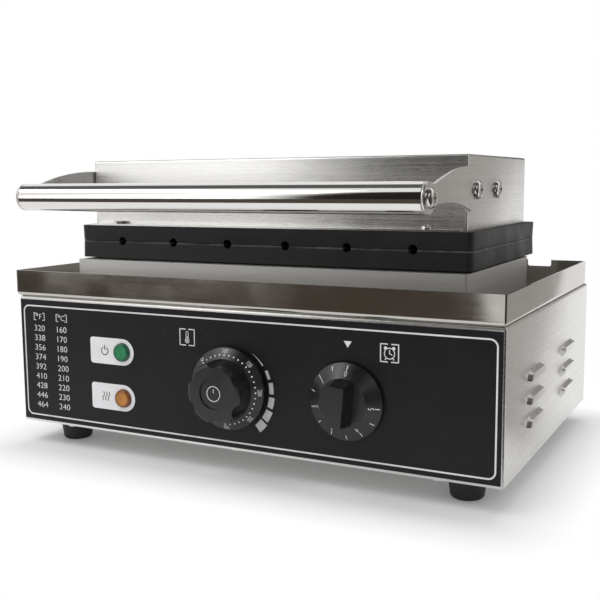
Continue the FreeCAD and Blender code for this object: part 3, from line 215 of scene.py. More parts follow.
def bumpFrom(tree, shader, height, strength, distance):
    bump = add(tree, "Bump", {"Height": height, "Strength": strength, "Distance": distance})
    tree.links.new(bump.outputs["Normal"], shader.inputs["Normal"])


# metals: each starts from the brushed sheet and names what it changes
brushed = {
    "along": 7.0, "across": 1500.0,  # streaks per metre, along the grain and across it
    "fine": 0.55, "broad": 0.45,     # shares of fine grain and broad streaks in the tone
    "dark": (0.60, 0.59, 0.57), "light": (0.76, 0.75, 0.735), "rough": (0.2, 0.31), "roughSpan": (0.3, 0.7),
    "anisotropy": 0.9, "grainTurn": 0.25, "bump": 0.05,
    "smudgeScale": 9.0, "haze": 0.06, "scuffs": 0.15, "scuffColor": (0.5, 0.49, 0.47),
}
metalLooks = {
    "stainless": ("brushedStainless", {}),
    "tray": ("wipedStainless", {  # glossier, worn by wiping
        "dark": (0.46, 0.435, 0.405), "light": (0.60, 0.58, 0.55), "rough": (0.07, 0.11),
        "anisotropy": 0.2, "bump": 0.03, "smudgeScale": 26.0, "scuffs": 0.3}),
    "riser": ("riserStainless", {
        "dark": (0.62, 0.605, 0.585), "light": (0.8, 0.79, 0.77), "rough": (0.46, 0.56),
        "anisotropy": 0.1}),
    "polished_tube": ("polishedTube", {
        "dark": (0.68, 0.67, 0.65), "light": (0.8, 0.79, 0.77), "rough": (0.05, 0.09),
        "anisotropy": 0.2, "bump": 0.02, "haze": 0.03, "scuffs": 0.1}),
    "hinge_steel": ("hingeSteel", {"rough": (0.28, 0.42), "anisotropy": 0.3, "bump": 0.1}),
    "screw_steel": ("screwSteel", {
        "light": (0.76, 0.75, 0.73), "rough": (0.1, 0.18), "anisotropy": 0.0, "bump": 0.03}),
    "element_tube": ("oxidisedTube", {
        "dark": (0.16, 0.14, 0.13), "light": (0.3, 0.27, 0.25), "rough": (0.45, 0.6)}),
    "clamp_sheet": ("zincSheet", {
        "along": 60.0, "across": 120.0, "rough": (0.35, 0.5), "anisotropy": 0.0}),
    "bulb_copper": ("drawnCopper", {"dark": (0.5, 0.24, 0.13), "light": (0.7, 0.38, 0.24)}),
}


def metalMaterial(name, look):
    turned = {"Anisotropic": look["anisotropy"], "Anisotropic Rotation": look["grainTurn"]}
    material, tree, shader = newMaterial(name, Metallic=1.0, **turned)
    grain = useGroup(tree, brushedGrain, along=look["along"], across=look["across"])
    marks = useGroup(tree, smudges, scale=look["smudgeScale"])
    fine = calc(tree, "MULTIPLY", grain["grain"], look["fine"])
    broad = calc(tree, "MULTIPLY", grain["streak"], look["broad"])
    color = blendColor(tree, calc(tree, "ADD", fine, broad), look["dark"], look["light"])
    soil = calc(tree, "MULTIPLY", marks["scuff"], look["scuffs"])
    tree.links.new(blendColor(tree, soil, color, look["scuffColor"]), shader.inputs["Base Color"])
    rough = remap(tree, grain["grain"], *look["rough"], *look["roughSpan"])
    hazy = calc(tree, "ADD", rough, calc(tree, "MULTIPLY", marks["smudge"], look["haze"]))
    tree.links.new(hazy, shader.inputs["Roughness"])
    bumpFrom(tree, shader, grain["grain"], look["bump"], grainDepth)
    around = [add(tree, "Tangent", direction_type="RADIAL", axis=axis).outputs[0] for axis in "ZY"]
    tree.links.new(blend(tree, "Vector", levelFaces(tree), *around), shader.inputs["Tangent"])
    return material


# plastics, rubber, wool, lenses and inks: two tones, a roughness range and pits per metre
# the lens's edge span is where its painted rim shade comes in, in shares of the radius
lensGlaze = {"rough": (0.16, 0.24), "pitScale": 900.0, "bump": 0.05, "rimShadeSpan": (0.55, 0.92),
             "sockets": {"Coat Weight": 0.4, "Coat Roughness": 0.08}}
ink = {"rough": (0.5, 0.6), "pitScale": 6000.0, "bump": 0.05}
plasticLooks = {
    "panel_film": ("panelFilm", {
        "dark": (0.005, 0.0049, 0.0066), "light": (0.008, 0.0078, 0.0102), "rough": (0.42, 0.5),
        "pitScale": 4200.0, "bump": 0.04, "sockets": {"Specular IOR Level": 0.26},
        "dustColor": (0.3, 0.3, 0.31), "dustScale": 260.0, "dustMost": 0.5, "dustSpan": (0.75, 1.0)}),
    "knob_plastic": ("knobPlastic", {
        "dark": (0.009, 0.009, 0.0095), "light": (0.015, 0.015, 0.016), "rough": (0.26, 0.36),
        "pitScale": 5200.0, "bump": 0.06}),
    "control_case": ("controlCase", {
        "dark": (0.09, 0.075, 0.065), "light": (0.14, 0.12, 0.1), "rough": (0.45, 0.6),
        "pitScale": 2600.0, "bump": 0.1}),
    "gland_plastic": ("glandPlastic", {
        "dark": (0.02, 0.02, 0.021), "light": (0.034, 0.034, 0.035), "rough": (0.45, 0.58),
        "pitScale": 3000.0, "bump": 0.12}),
    "foot_rubber": ("footRubber", {
        "dark": (0.008, 0.008, 0.0085), "light": (0.016, 0.016, 0.017), "rough": (0.55, 0.75),
        "pitScale": 1800.0, "bump": 0.25}),
    "mineral_wool": ("mineralWool", {
        "dark": (0.5, 0.46, 0.36), "light": (0.78, 0.74, 0.64), "rough": (0.85, 0.95),
        "pitScale": 500.0, "bump": 1.0}),
    # each lens's darker edge colour is painted shade at its rim
    "green_lens": ("greenLens", {
        **lensGlaze, "dark": (0.01, 0.26, 0.1), "light": (0.03, 0.42, 0.17),
        "rimShadeColor": (0.002, 0.09, 0.035)}),
    "amber_lens": ("amberLens", {
        **lensGlaze, "dark": (0.5, 0.18, 0.012), "light": (0.78, 0.34, 0.04),
        "rimShadeColor": (0.2, 0.055, 0.003)}),
    "label": ("labelFilm", {
        "dark": (0.84, 0.84, 0.86), "light": (0.92, 0.92, 0.94), "rough": (0.4, 0.5),
        "pitScale": 4000.0, "bump": 0.04}),
    "print": ("screenPrint", {**ink, "dark": (0.72, 0.72, 0.72), "light": (0.84, 0.84, 0.84)}),
    "greyPrint": ("greyPrint", {**ink, "dark": (0.42, 0.42, 0.43), "light": (0.52, 0.52, 0.53)}),
    "inkOnLabel": ("inkOnLabel", {**ink, "dark": (0.05, 0.045, 0.045), "light": (0.08, 0.075, 0.075)}),
}


# distance from a lens's axis, as a share of its radius
def rimShare(tree):
    spot = vectorCalc(tree, "SUBTRACT", add(tree, "TexCoord").outputs["Generated"], (0.5, 0.5, 0.5))
    return lengthOf(tree, vectorCalc(tree, "MULTIPLY", spot, (2.0, 0.0, 2.0)))


def plasticMaterial(name, look):
    material, tree, shader = newMaterial(name, **look.get("sockets", {}))
    skin = useGroup(tree, mouldedSkin, pitScale=look["pitScale"])
    color = blendColor(tree, skin["cloud"], look["dark"], look["light"])
    if "rimShadeColor" in look:  # painted shade, darker towards the round rim
        rim = remap(tree, rimShare(tree), 0.0, 1.0, *look["rimShadeSpan"])
        color = blendColor(tree, rim, color, look["rimShadeColor"])
    if "dustColor" in look:
        specks = useGroup(tree, smudges, scuffScale=look["dustScale"])["scuff"]
        dust = remap(tree, specks, 0.0, look["dustMost"], *look["dustSpan"])
        color = blendColor(tree, dust, color, look["dustColor"])
    tree.links.new(color, shader.inputs["Base Color"])
    tree.links.new(remap(tree, skin["cloud"], *look["rough"]), shader.inputs["Roughness"])
    bumpFrom(tree, shader, skin["pits"], look["bump"], pitDepth)
    return material


# moulding plates: black coating, scuffed grey along the edges where the plates meet
nonstickLook = {
    "dark": (0.005, 0.005, 0.0058), "light": (0.013, 0.013, 0.0145), "rough": (0.4, 0.55),
    "pitScale": 1700.0, "bump": 0.18, "sockets": {"Specular IOR Level": 0.38},
    "worn": (0.16, 0.16, 0.165), "wornBand": 0.0011, "wornDrop": 0.0004,  # metres
    "rubbing": 0.75, "leastRubbed": 0.15, "spots": 0.10, "smudgeScale": 60.0, "scuffScale": 420.0,
}


def nonstickMaterial(look):
    material, tree, shader = newMaterial("nonstickCoating", **look["sockets"])
    skin = useGroup(tree, mouldedSkin, pitScale=look["pitScale"])
    marks = useGroup(tree, smudges, scale=look["smudgeScale"], scuffScale=look["scuffScale"])
    height = add(tree, "SeparateXYZ", {0: add(tree, "TexCoord").outputs["Object"]}).outputs["Z"]
    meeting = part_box("lower_plate")[1].z - look["wornDrop"]
    away = calc(tree, "ABSOLUTE", calc(tree, "SUBTRACT", height, meeting))
    band = remap(tree, away, 1.0, 0.0, 0.0, look["wornBand"])
    patchy = calc(tree, "MULTIPLY", band, remap(tree, marks["smudge"], look["leastRubbed"], 1.0))
    rubbed = calc(tree, "MULTIPLY", patchy, look["rubbing"])
    wear = calc(tree, "MAXIMUM", rubbed, calc(tree, "MULTIPLY", marks["scuff"], look["spots"]))
    coat = blendColor(tree, skin["cloud"], look["dark"], look["light"])
    tree.links.new(blendColor(tree, wear, coat, look["worn"]), shader.inputs["Base Color"])
    tree.links.new(remap(tree, skin["cloud"], *look["rough"]), shader.inputs["Roughness"])
    bumpFrom(tree, shader, skin["pits"], look["bump"], pitDepth)
    return material


finishes = {"nonstick": nonstickMaterial(nonstickLook)}
for slot, (name, changes) in metalLooks.items():
    finishes[slot] = metalMaterial(name, {**brushed, **changes})
for slot, (name, look) in plasticLooks.items():
    finishes[slot] = plasticMaterial(name, look)

# two stainless sheets have a finish of their own, and every other node that of its slot
ownFinish = {"drip_tray": "tray", "plate_riser": "riser"}
for entry in frame["record"]["subparts"]:
    mesh = nodes[entry["node"]].data
    mesh.materials.clear()
    mesh.materials.append(finishes[ownFinish.get(entry["node"], entry["material_slot"])])
print("materials placed on the nodes")

# flat print shapes, drawn in millimetres: x to the right, y up, z out of the surface
printDepth = 0.06


def polar(radius, degrees):
    angle = math.radians(degrees)
    return radius * math.cos(angle), radius * math.sin(angle)


def arcSpots(x, y, radius, start, end, steps):
    spots = [polar(radius, start + (end - start) * i / steps) for i in range(steps + 1)]
    return [(x + dx, y + dy) for dx, dy in spots]


def roundedLoop(x0, y0, x1, y1, radii, steps=7):
    points = []
    corners = ((x1, y0, -1, 1, 270), (x1, y1, -1, -1, 0), (x0, y1, 1, -1, 90), (x0, y0, 1, 1, 180))
    for (x, y, sideX, sideY, start), radius in zip(corners, radii):
        points += arcSpots(x + sideX * radius, y + sideY * radius, radius, start, start + 90, steps)
    return points


def arcLoop(x, y, inner, outer, start, end, steps=8):
    return arcSpots(x, y, outer, start, end, steps) + arcSpots(x, y, inner, end, start, steps)


def circleLoop(x, y, radius, steps=40):
    return arcSpots(x, y, radius, 0, 360, steps)[:-1]


def lineLoop(a, b, width):
    along = (Vector(b) - Vector(a)).normalized() * width / 2
    side = Vector((-along.y, along.x))
    return [tuple(Vector(p) + s) for p, s in ((a, -side), (b, -side), (b, side), (a, side))]


# each loose slab is turned by its largest flat face, which has to look away from the middle
def turnOutward(bm):
    bmesh.ops.recalc_face_normals(bm, faces=bm.faces)
    waiting = set(bm.faces)
    while waiting:
        slab = [waiting.pop()]
        for face in slab:
            near = {other for edge in face.edges for other in edge.link_faces} & waiting
            waiting -= near
            slab.extend(near)
        widest = max(slab, key=lambda face: abs(face.normal.z) * face.calc_area())
        if widest.normal.z * widest.calc_center_median().z < 0:
            bmesh.ops.reverse_faces(bm, faces=slab)


def curveMesh(curve):
    holder = bpy.data.objects.new("printHolder", curve)
    bpy.context.scene.collection.objects.link(holder)
    bpy.context.view_layer.update()
    mesh = bpy.data.meshes.new_from_object(holder.evaluated_get(bpy.context.evaluated_depsgraph_get()))
    bpy.data.objects.remove(holder)
    bpy.data.curves.remove(curve)
    bm = bmesh.new()
    bm.from_mesh(mesh)
    bmesh.ops.remove_doubles(bm, verts=bm.verts, dist=1e-5)
    turnOutward(bm)
    bm.to_mesh(mesh)
    bm.free()
    return mesh


def shapeMesh(*loops):
    curve = bpy.data.curves.new("printShape", "CURVE")
    curve.dimensions = "2D"
    curve.fill_mode = "BOTH"
    curve.extrude = printDepth / 2
    for loop in loops:
        spline = curve.splines.new("POLY")
        spline.points.add(len(loop) - 1)
        for point, (x, y) in zip(spline.points, loop):
            point.co = (x, y, 0, 1)
        spline.use_cyclic_u = True
    return curveMesh(curve)


def lineMesh(a, b, width):
    return shapeMesh(lineLoop(a, b, width))


def ringMesh(x, y, inner, outer, steps=40):
    return shapeMesh(circleLoop(x, y, outer, steps), circleLoop(x, y, inner, steps))


def numberMesh(text, height, squeeze, x, y, turn=0.0):
    curve = bpy.data.curves.new("printNumber", "FONT")
    curve.body = text
    curve.align_x = "CENTER"
    curve.align_y = "CENTER"
    curve.extrude = printDepth / 2
    curve.resolution_u = 3
    curve.offset = -0.008  # thinner strokes
    mesh = curveMesh(curve)
    spots = [v.co for v in mesh.vertices]
    lowX, highX = min(p.x for p in spots), max(p.x for p in spots)
    lowY, highY = min(p.y for p in spots), max(p.y for p in spots)
    scale = height / (highY - lowY)
    fit = Matrix.Diagonal((scale * squeeze, scale, 1.0, 1.0))
    middle = Matrix.Translation((-(lowX + highX) / 2, -(lowY + highY) / 2, 0))
    place = Matrix.Translation((x, y, 0)) @ Matrix.Rotation(math.radians(turn), 4, "Z")
    mesh.transform(place @ fit @ middle)
    return mesh


def addPiece(name, mesh, finish, body):
    piece = bpy.data.objects.new(name, mesh)
    mesh.materials.clear()
    mesh.materials.append(finishes[finish])
    bpy.context.scene.collection.objects.link(piece)
    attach(piece, body)
    return piece


def printPiece(name, meshes, settle, finish, body):
    bm = bmesh.new()
    for mesh in meshes:
        bm.from_mesh(mesh)
        bpy.data.meshes.remove(mesh)
    for vert in bm.verts:
        vert.co = settle(vert.co)
    mesh = bpy.data.meshes.new(name)
    bm.to_mesh(mesh)
    bm.free()
    addPiece(name, mesh, finish, body)


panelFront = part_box("control_panel")[0].y
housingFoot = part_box("base_housing")[0].z


def onPanel(p):
    return Vector((p.x * mm, panelFront - (p.z + printDepth / 2) * mm, housingFoot + p.y * mm))


def onLabel(p):
    return onPanel(p) - Vector((0, printDepth * mm, 0))


# where a node's middle stands on the panel, in millimetres
def panelSpot(node):
    middle = middleOf(node)
    return middle.x / mm, (middle.z - housingFoot) / mm


# border line round the panel
borderLine = {"halfWidth": 194.8, "low": 5.2, "high": 95.6, "corner": 5.5, "line": 1.15}


def addBorder(sizes):
    loops = []
    for inset in (0.0, sizes["line"]):
        half, corner = sizes["halfWidth"] - inset, sizes["corner"] - inset
        loops.append(roundedLoop(-half, sizes["low"] + inset, half, sizes["high"] - inset, [corner] * 4))
    printPiece("panel_border", [shapeMesh(*loops)], onPanel, "print", "base")


addBorder(borderLine)


# square brackets that face each other
def bracketFrame(x, y, halfWidth, halfHeight, leg, line):
    meshes = []
    for side in (-1, 1):
        edge = x + side * halfWidth
        meshes.append(lineMesh((edge, y - halfHeight), (edge, y + halfHeight), line))
        for end in (-1, 1):
            level = y + end * (halfHeight - line / 2)
            meshes.append(lineMesh((edge, level), (edge - side * leg, level), line))
    return meshes


# two columns of oven temperatures with their unit signs
heatTable = {
    "columns": (-178.6, -155.6), "top": 77.2, "pitch": 7.81, "rows": 9, "height": 4.7, "squeeze": 1.12,
    "firstDegree": 160, "step": 10,
    "headLevel": 86.5, "bracket": (5.3, 3.1, 2.0, 0.6),  # half width, half height, leg, line
    "ring": (-2.4, 1.5, 0.55, 1.1), "ringSides": 18, "letterShift": 1.2, "letterHeight": 4.1,
}


def addHeatTable(sizes):
    meshes = []
    for row in range(sizes["rows"]):
        warm = sizes["firstDegree"] + sizes["step"] * row
        level = sizes["top"] - sizes["pitch"] * row
        for x, degree in zip(sizes["columns"], (warm * 9 // 5 + 32, warm)):
            meshes.append(numberMesh(str(degree), sizes["height"], sizes["squeeze"], x, level))
    y = sizes["headLevel"]
    ringX, ringY, inner, outer = sizes["ring"]
    for x, letter in zip(sizes["columns"], "FC"):
        meshes += bracketFrame(x, y, *sizes["bracket"])
        meshes.append(ringMesh(x + ringX, y + ringY, inner, outer, sizes["ringSides"]))
        letterX = x + sizes["letterShift"]
        meshes.append(numberMesh(letter, sizes["letterHeight"], sizes["squeeze"], letterX, y))
    printPiece("panel_heat_table", meshes, onPanel, "print", "base")


addHeatTable(heatTable)

# pale labels behind the lamps, with a generic sign on each
lampLabels = {
    "left": -126.9, "right": -85.4, "halfHeight": 10.3, "corner": 2.4, "lens": 7.3, "signX": -113.0,
    "roundEnd": 10.29,  # just under half the height, so that the two arcs stay apart
    "powerRing": (2.7, 3.5, 122, 418), "powerBar": (0.6, 4.4), "powerLine": 0.85,
    "waveRing": (1.9, 2.6), "waveTurn": 50, "wavePitch": 2.6, "waveRise": 1.7, "waveShift": 1.5,
}


def lampPlate(sizes, x, y):
    half, corner, roundEnd = sizes["halfHeight"], sizes["corner"], sizes["roundEnd"]
    radii = (roundEnd, roundEnd, corner, corner)
    outline = roundedLoop(sizes["left"], y - half, sizes["right"], y + half, radii, steps=12)
    return shapeMesh(outline, circleLoop(x, y, sizes["lens"]))


def powerSign(sizes, x, y):
    low, high = sizes["powerBar"]
    ring = shapeMesh(arcLoop(x, y, *sizes["powerRing"], steps=28))
    return [ring, lineMesh((x, y + low), (x, y + high), sizes["powerLine"])]


# three waves, each of two bows that turn opposite ways
def heatSign(sizes, x, y):
    meshes = []
    for step in (-1, 0, 1):
        for part, turn in ((-1, 180), (1, 0)):
            bowX = x + step * sizes["wavePitch"] - part * sizes["waveShift"]
            bowY = y + part * sizes["waveRise"]
            start, end = turn - sizes["waveTurn"], turn + sizes["waveTurn"]
            meshes.append(shapeMesh(arcLoop(bowX, bowY, *sizes["waveRing"], start, end)))
    return meshes


def addLampLabels(sizes):
    plates, signs = [], []
    for lens, makeSign in (("power_lamp_lens", powerSign), ("heat_lamp_lens", heatSign)):
        x, y = panelSpot(lens)
        plates.append(lampPlate(sizes, x, y))
        signs += makeSign(sizes, sizes["signX"], y)
    printPiece("lamp_labels", plates, onPanel, "label", "base")
    printPiece("lamp_signs", signs, onLabel, "inkOnLabel", "base")


addLampLabels(lampLabels)

# pictograms in bracketed frames over the two knobs, and the timer's pointer
pictograms = {
    "bracket": (6.3, 6.3, 5.1, 0.75),  # half width, half height, leg, line
    "thermometer": (-36.1, 80.0), "bulbDrop": 2.6, "bulbRing": (1.3, 1.9, 120, 420), "bulbCore": 0.85,
    "stemHalf": 0.95, "stemEnds": (-1.2, 3.4), "stemLine": 0.5, "capRing": (0.7, 1.2, 0, 180),
    "capLevel": 3.3, "columnTop": 1.0, "columnLine": 0.6,
    "clock": (122.7, 80.9), "faceDrop": 0.3, "faceRing": (3.3, 3.9), "hands": ((0.0, 2.1), (1.9, -1.2)),
    "handLine": 0.6, "bell": (2.9, 3.2), "bellRadius": 1.15, "foot": ((2.2, -3.2), (3.2, -4.6)),
    "footLine": 0.7,
    "pointer": (92.8, 84.4), "pointerHalf": 2.9, "pointerHeight": 4.6,
}


def thermometerSign(sizes, x, y):
    bulb = y - sizes["bulbDrop"]
    low, high = sizes["stemEnds"]
    meshes = [shapeMesh(arcLoop(x, bulb, *sizes["bulbRing"], steps=20)),
              shapeMesh(circleLoop(x, bulb, sizes["bulbCore"], steps=16))]
    for edge in (x - sizes["stemHalf"], x + sizes["stemHalf"]):
        meshes.append(lineMesh((edge, y + low), (edge, y + high), sizes["stemLine"]))
    meshes.append(shapeMesh(arcLoop(x, y + sizes["capLevel"], *sizes["capRing"], steps=10)))
    meshes.append(lineMesh((x, bulb), (x, y + sizes["columnTop"]), sizes["columnLine"]))
    return meshes


def clockSign(sizes, x, y):
    face = y - sizes["faceDrop"]
    meshes = [ringMesh(x, face, *sizes["faceRing"])]
    for dx, dy in sizes["hands"]:
        meshes.append(lineMesh((x, face), (x + dx, y + dy), sizes["handLine"]))
    bellX, bellY = sizes["bell"]
    for side in (-1, 1):
        bell = circleLoop(x + side * bellX, y + bellY, sizes["bellRadius"], steps=16)
        meshes.append(shapeMesh(bell))
        top, tip = [(x + side * dx, y + dy) for dx, dy in sizes["foot"]]
        meshes.append(lineMesh(top, tip, sizes["footLine"]))
    return meshes


def addPictograms(sizes):
    meshes = []
    for word, makeSign in (("thermometer", thermometerSign), ("clock", clockSign)):
        x, y = sizes[word]
        meshes += bracketFrame(x, y, *sizes["bracket"]) + makeSign(sizes, x, y)
    x, y = sizes["pointer"]
    half, tall = sizes["pointerHalf"], sizes["pointerHeight"] / 2
    meshes.append(shapeMesh([(x - half, y + tall), (x, y - tall), (x + half, y + tall)]))
    printPiece("panel_pictograms", meshes, onPanel, "print", "base")


addPictograms(pictograms)

# growing blocks that curve round the temperature knob
heatBlocks = {
    "inner": 32.4, "widths": (1.1, 2.3, 3.4, 4.4, 5.4, 6.4),
    "middles": (44.5, 21.3, 4.5, -12.8, -29.3, -44.6), "spans": (21, 11, 13.5, 13, 13, 12),  # degrees
    "steps": 8, "sliver": 0.95,  # share of its width that the first block loses at its tip
}


def addHeatBlocks(sizes):
    meshes = []
    centre = panelSpot("temperature_knob")
    inner, steps = sizes["inner"], sizes["steps"]
    for i, (middle, span, width) in enumerate(zip(sizes["middles"], sizes["spans"], sizes["widths"])):
        loop = arcLoop(*centre, inner, inner + width, middle - span / 2, middle + span / 2, steps)
        if i == 0:  # the first block is a sliver that runs out to a point
            for k in range(steps + 1):
                inward = (Vector(centre) - Vector(loop[k])).normalized()
                loop[k] = tuple(Vector(loop[k]) + inward * width * sizes["sliver"] * k / steps)
        meshes.append(shapeMesh(loop))
    printPiece("heat_blocks", meshes, onPanel, "greyPrint", "base")


addHeatBlocks(heatBlocks)
print("panel printed")


# prints on the knobs' conical skirts
def onSkirt(node, edgeRadius, edgeDepth, topRadius, topDepth):
    middle, back = middleOf(node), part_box(node)[1].y

    def settle(p):
        share = (edgeRadius - math.hypot(p.x, p.y)) / (edgeRadius - topRadius)
        depth = edgeDepth + share * (topDepth - edgeDepth) + p.z + printDepth / 2
        return Vector((middle.x + p.x * mm, back - depth * mm, middle.z + p.y * mm))
    return settle


temperatureDial = {
    "skirt": (30.0, 3.6, 22.5, 8.0),  # radius and depth at the edge, then at the top
    "dots": 25.2, "dotSize": 0.55, "firstDot": 153, "dotStep": 9, "dotCount": 30,
    "numbers": 27.8, "firstAngle": 135, "numberStep": 45, "numberCount": 6,
    "firstNumber": 50, "numberRise": 50, "height": 2.6, "squeeze": 0.85,
}


def addTemperatureDial(sizes):
    meshes = []
    for i in range(sizes["dotCount"]):
        spot = polar(sizes["dots"], sizes["firstDot"] - sizes["dotStep"] * i)
        meshes.append(shapeMesh(circleLoop(*spot, sizes["dotSize"], steps=10)))
    for i in range(sizes["numberCount"]):
        degrees = sizes["firstAngle"] - sizes["numberStep"] * i
        number = str(sizes["firstNumber"] + sizes["numberRise"] * i)
        spot = polar(sizes["numbers"], degrees)
        meshes.append(numberMesh(number, sizes["height"], sizes["squeeze"], *spot, degrees - 90))
    settle = onSkirt("temperature_knob", *sizes["skirt"])
    printPiece("temperature_dial_print", meshes, settle, "print", "temperature_control")


addTemperatureDial(temperatureDial)

# ticks at every half step of the timer, and a number at every whole one
timerDial = {
    "skirt": (26.7, 2.2, 17.0, 8.0), "turn": -5.5, "step": 27, "halfSteps": 11,
    "ticks": (22.4, 25.4), "line": 0.55, "numbers": 20.2, "height": 3.4, "squeeze": 0.85,
}


def addTimerDial(sizes):
    meshes = []
    inner, outer = sizes["ticks"]
    for i in range(sizes["halfSteps"]):
        degrees = 90 + sizes["step"] * i + sizes["turn"]
        if i % 2 == 0:
            spot = polar(sizes["numbers"], degrees)
            meshes.append(numberMesh(str(i // 2), sizes["height"], sizes["squeeze"], *spot, degrees - 90))
        meshes.append(lineMesh(polar(inner, degrees), polar(outer, degrees), sizes["line"]))
    settle = onSkirt("timer_knob", *sizes["skirt"])
    printPiece("timer_dial_print", meshes, settle, "print", "timer_control")


addTimerDial(timerDial)

# plain ring with a short hand on the temperature knob's face
gripSign = {"ring": (5.05, 5.6), "hand": (0.4, 3.4), "line": 0.5, "sunk": 1.0}


def addGripSign(sizes):
    middle, front = middleOf("temperature_knob"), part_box("temperature_knob")[0].y
    low, high = sizes["hand"]
    meshes = [ringMesh(0, 0, *sizes["ring"]), lineMesh((0, low), (0, high), sizes["line"])]

    def settle(p):
        depth = sizes["sunk"] - p.z - printDepth / 2
        return Vector((middle.x + p.x * mm, front + depth * mm, middle.z + p.y * mm))
    printPiece("grip_sign", meshes, settle, "print", "temperature_control")


addGripSign(gripSign)
print("knobs printed")

# lamp lenses: shallow caps with upright ribs inside a plain rim
lensCap = {
    "rise": 3.0, "edge": 1.6, "ribPitch": 1.6, "ribDepth": 0.62, "groove": 0.8,
    "rim": 0.82, "ribFade": 16, "grooveShare": 0.85, "grooveSharpness": 34,  # in shares of the radius
    "rings": 36, "sides": 120,
}


# how far the cap's face stands behind its front, at a share of the radius
def lensDepth(sizes, share, radius, across):
    edge = sizes["edge"] * mm
    fall = max(0.0, radius * share - (radius - edge))
    drop = edge - math.sqrt(max(0.0, edge ** 2 - fall ** 2))
    inside = max(0.0, min(1.0, (sizes["rim"] - share) * sizes["ribFade"]))
    wave = 0.5 + 0.5 * math.cos(2 * math.pi * across / (sizes["ribPitch"] * mm))
    groove = math.exp(-((share - sizes["grooveShare"]) * sizes["grooveSharpness"]) ** 2)
    return drop + (inside * wave * sizes["ribDepth"] + groove * sizes["groove"]) * mm


def addLens(sizes, node, name, slot):
    low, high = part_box(node)
    middle, radius, n = middleOf(node), (high.x - low.x) / 2, sizes["sides"]
    verts, faces = [], []
    for ring in range(sizes["rings"] + 1):
        share = ring / sizes["rings"]
        for side in range(n):
            dx, dz = polar(radius * share, 360 * side / n)
            verts.append((middle.x + dx, low.y + lensDepth(sizes, share, radius, dx), middle.z + dz))
    for side in range(n):
        dx, dz = polar(radius, 360 * side / n)
        verts.append((middle.x + dx, low.y + sizes["rise"] * mm, middle.z + dz))
    for ring in range(sizes["rings"] + 1):
        for side in range(n):
            a, b = ring * n + side, ring * n + (side + 1) % n
            faces.append((a, b, b + n, a + n))
    mesh = bpy.data.meshes.new(name)
    mesh.from_pydata(verts, [], faces)
    bm = bmesh.new()
    bm.from_mesh(mesh)
    bmesh.ops.remove_doubles(bm, verts=bm.verts, dist=1e-6)
    bmesh.ops.holes_fill(bm, edges=[e for e in bm.edges if e.is_boundary], sides=0)
    bmesh.ops.recalc_face_normals(bm, faces=bm.faces)
    bm.to_mesh(mesh)
    bm.free()
    mesh.polygons.foreach_set("use_smooth", [True] * len(mesh.polygons))
    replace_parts(addPiece(name, mesh, slot, "base"), node)


addLens(lensCap, "power_lamp_lens", "power_lens_ribbed", "green_lens")
addLens(lensCap, "heat_lamp_lens", "heat_lens_ribbed", "amber_lens")
print("lenses made")

# handle arms with bowed edges, in millimetres back and up from the bar's centre
handleArms = {
    "ring": 10.0, "ringStart": -27, "ringEnd": -315, "ringSteps": 40,
    "upperEdge": ((7.2, 7.2), (44.1, 16.7), (89.0, 19.3)),  # three points on each bow
    "tail": (140.1, 3.9, 10.3), "tailSteps": 16,
    "lowerEdge": ((79.0, -10.1), (43.0, -3.8), (9.2, -4.6)),
    "foldBack": 30.0, "foldFront": 12.0, "step": 1.6, "gauge": 2.4,
}


def arcThrough(a, b, c, steps=18):
    (ax, ay), (bx, by), (cx, cy) = a, b, c
    divisor = 2 * (ax * (by - cy) + bx * (cy - ay) + cx * (ay - by))
    aa, bb, cc = ax * ax + ay * ay, bx * bx + by * by, cx * cx + cy * cy
    x = (aa * (by - cy) + bb * (cy - ay) + cc * (ay - by)) / divisor
    y = (aa * (cx - bx) + bb * (ax - cx) + cc * (bx - ax)) / divisor
    start = math.degrees(math.atan2(ay - y, ax - x))
    sweep = (math.degrees(math.atan2(cy - y, cx - x)) - start + 180) % 360 - 180
    return arcSpots(x, y, math.hypot(ax - x, ay - y), start, start + sweep, steps)


def addArm(sizes, node, name, side):
    bar = middleOf("handle_bar")
    outside = max(abs(corner.x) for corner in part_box(node)) / mm
    loop = arcThrough(*sizes["upperEdge"])
    loop += arcSpots(*sizes["tail"], 90, -90, sizes["tailSteps"])
    loop += arcThrough(*sizes["lowerEdge"])
    loop += arcSpots(0, 0, sizes["ring"], sizes["ringStart"], sizes["ringEnd"], sizes["ringSteps"])[:-1]
    bm = bmesh.new()
    flat = shapeMesh(loop)
    bm.from_mesh(flat)
    bpy.data.meshes.remove(flat)
    for fold in (sizes["foldBack"], sizes["foldFront"]):
        parts = bm.verts[:] + bm.edges[:] + bm.faces[:]
        bmesh.ops.bisect_plane(bm, geom=parts, plane_co=(fold, 0, 0), plane_no=(1, 0, 0))
    for vert in bm.verts:
        back, up, depth = vert.co
        share = (sizes["foldBack"] - back) / (sizes["foldBack"] - sizes["foldFront"])
        inward = sizes["step"] * max(0.0, min(1.0, share))
        x = outside - inward - sizes["gauge"] * (0.5 - depth / printDepth)
        vert.co = (side * x * mm, bar.y + back * mm, bar.z + up * mm)
    bmesh.ops.remove_doubles(bm, verts=bm.verts, dist=1e-6)
    bmesh.ops.recalc_face_normals(bm, faces=bm.faces)
    mesh = bpy.data.meshes.new(name)
    bm.to_mesh(mesh)
    bm.free()
    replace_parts(addPiece(name, mesh, "stainless", "lid"), node)


addArm(handleArms, "handle_arm_right", "arm_right_bowed", 1)
addArm(handleArms, "handle_arm_left", "arm_left_bowed", -1)
print("arms made")

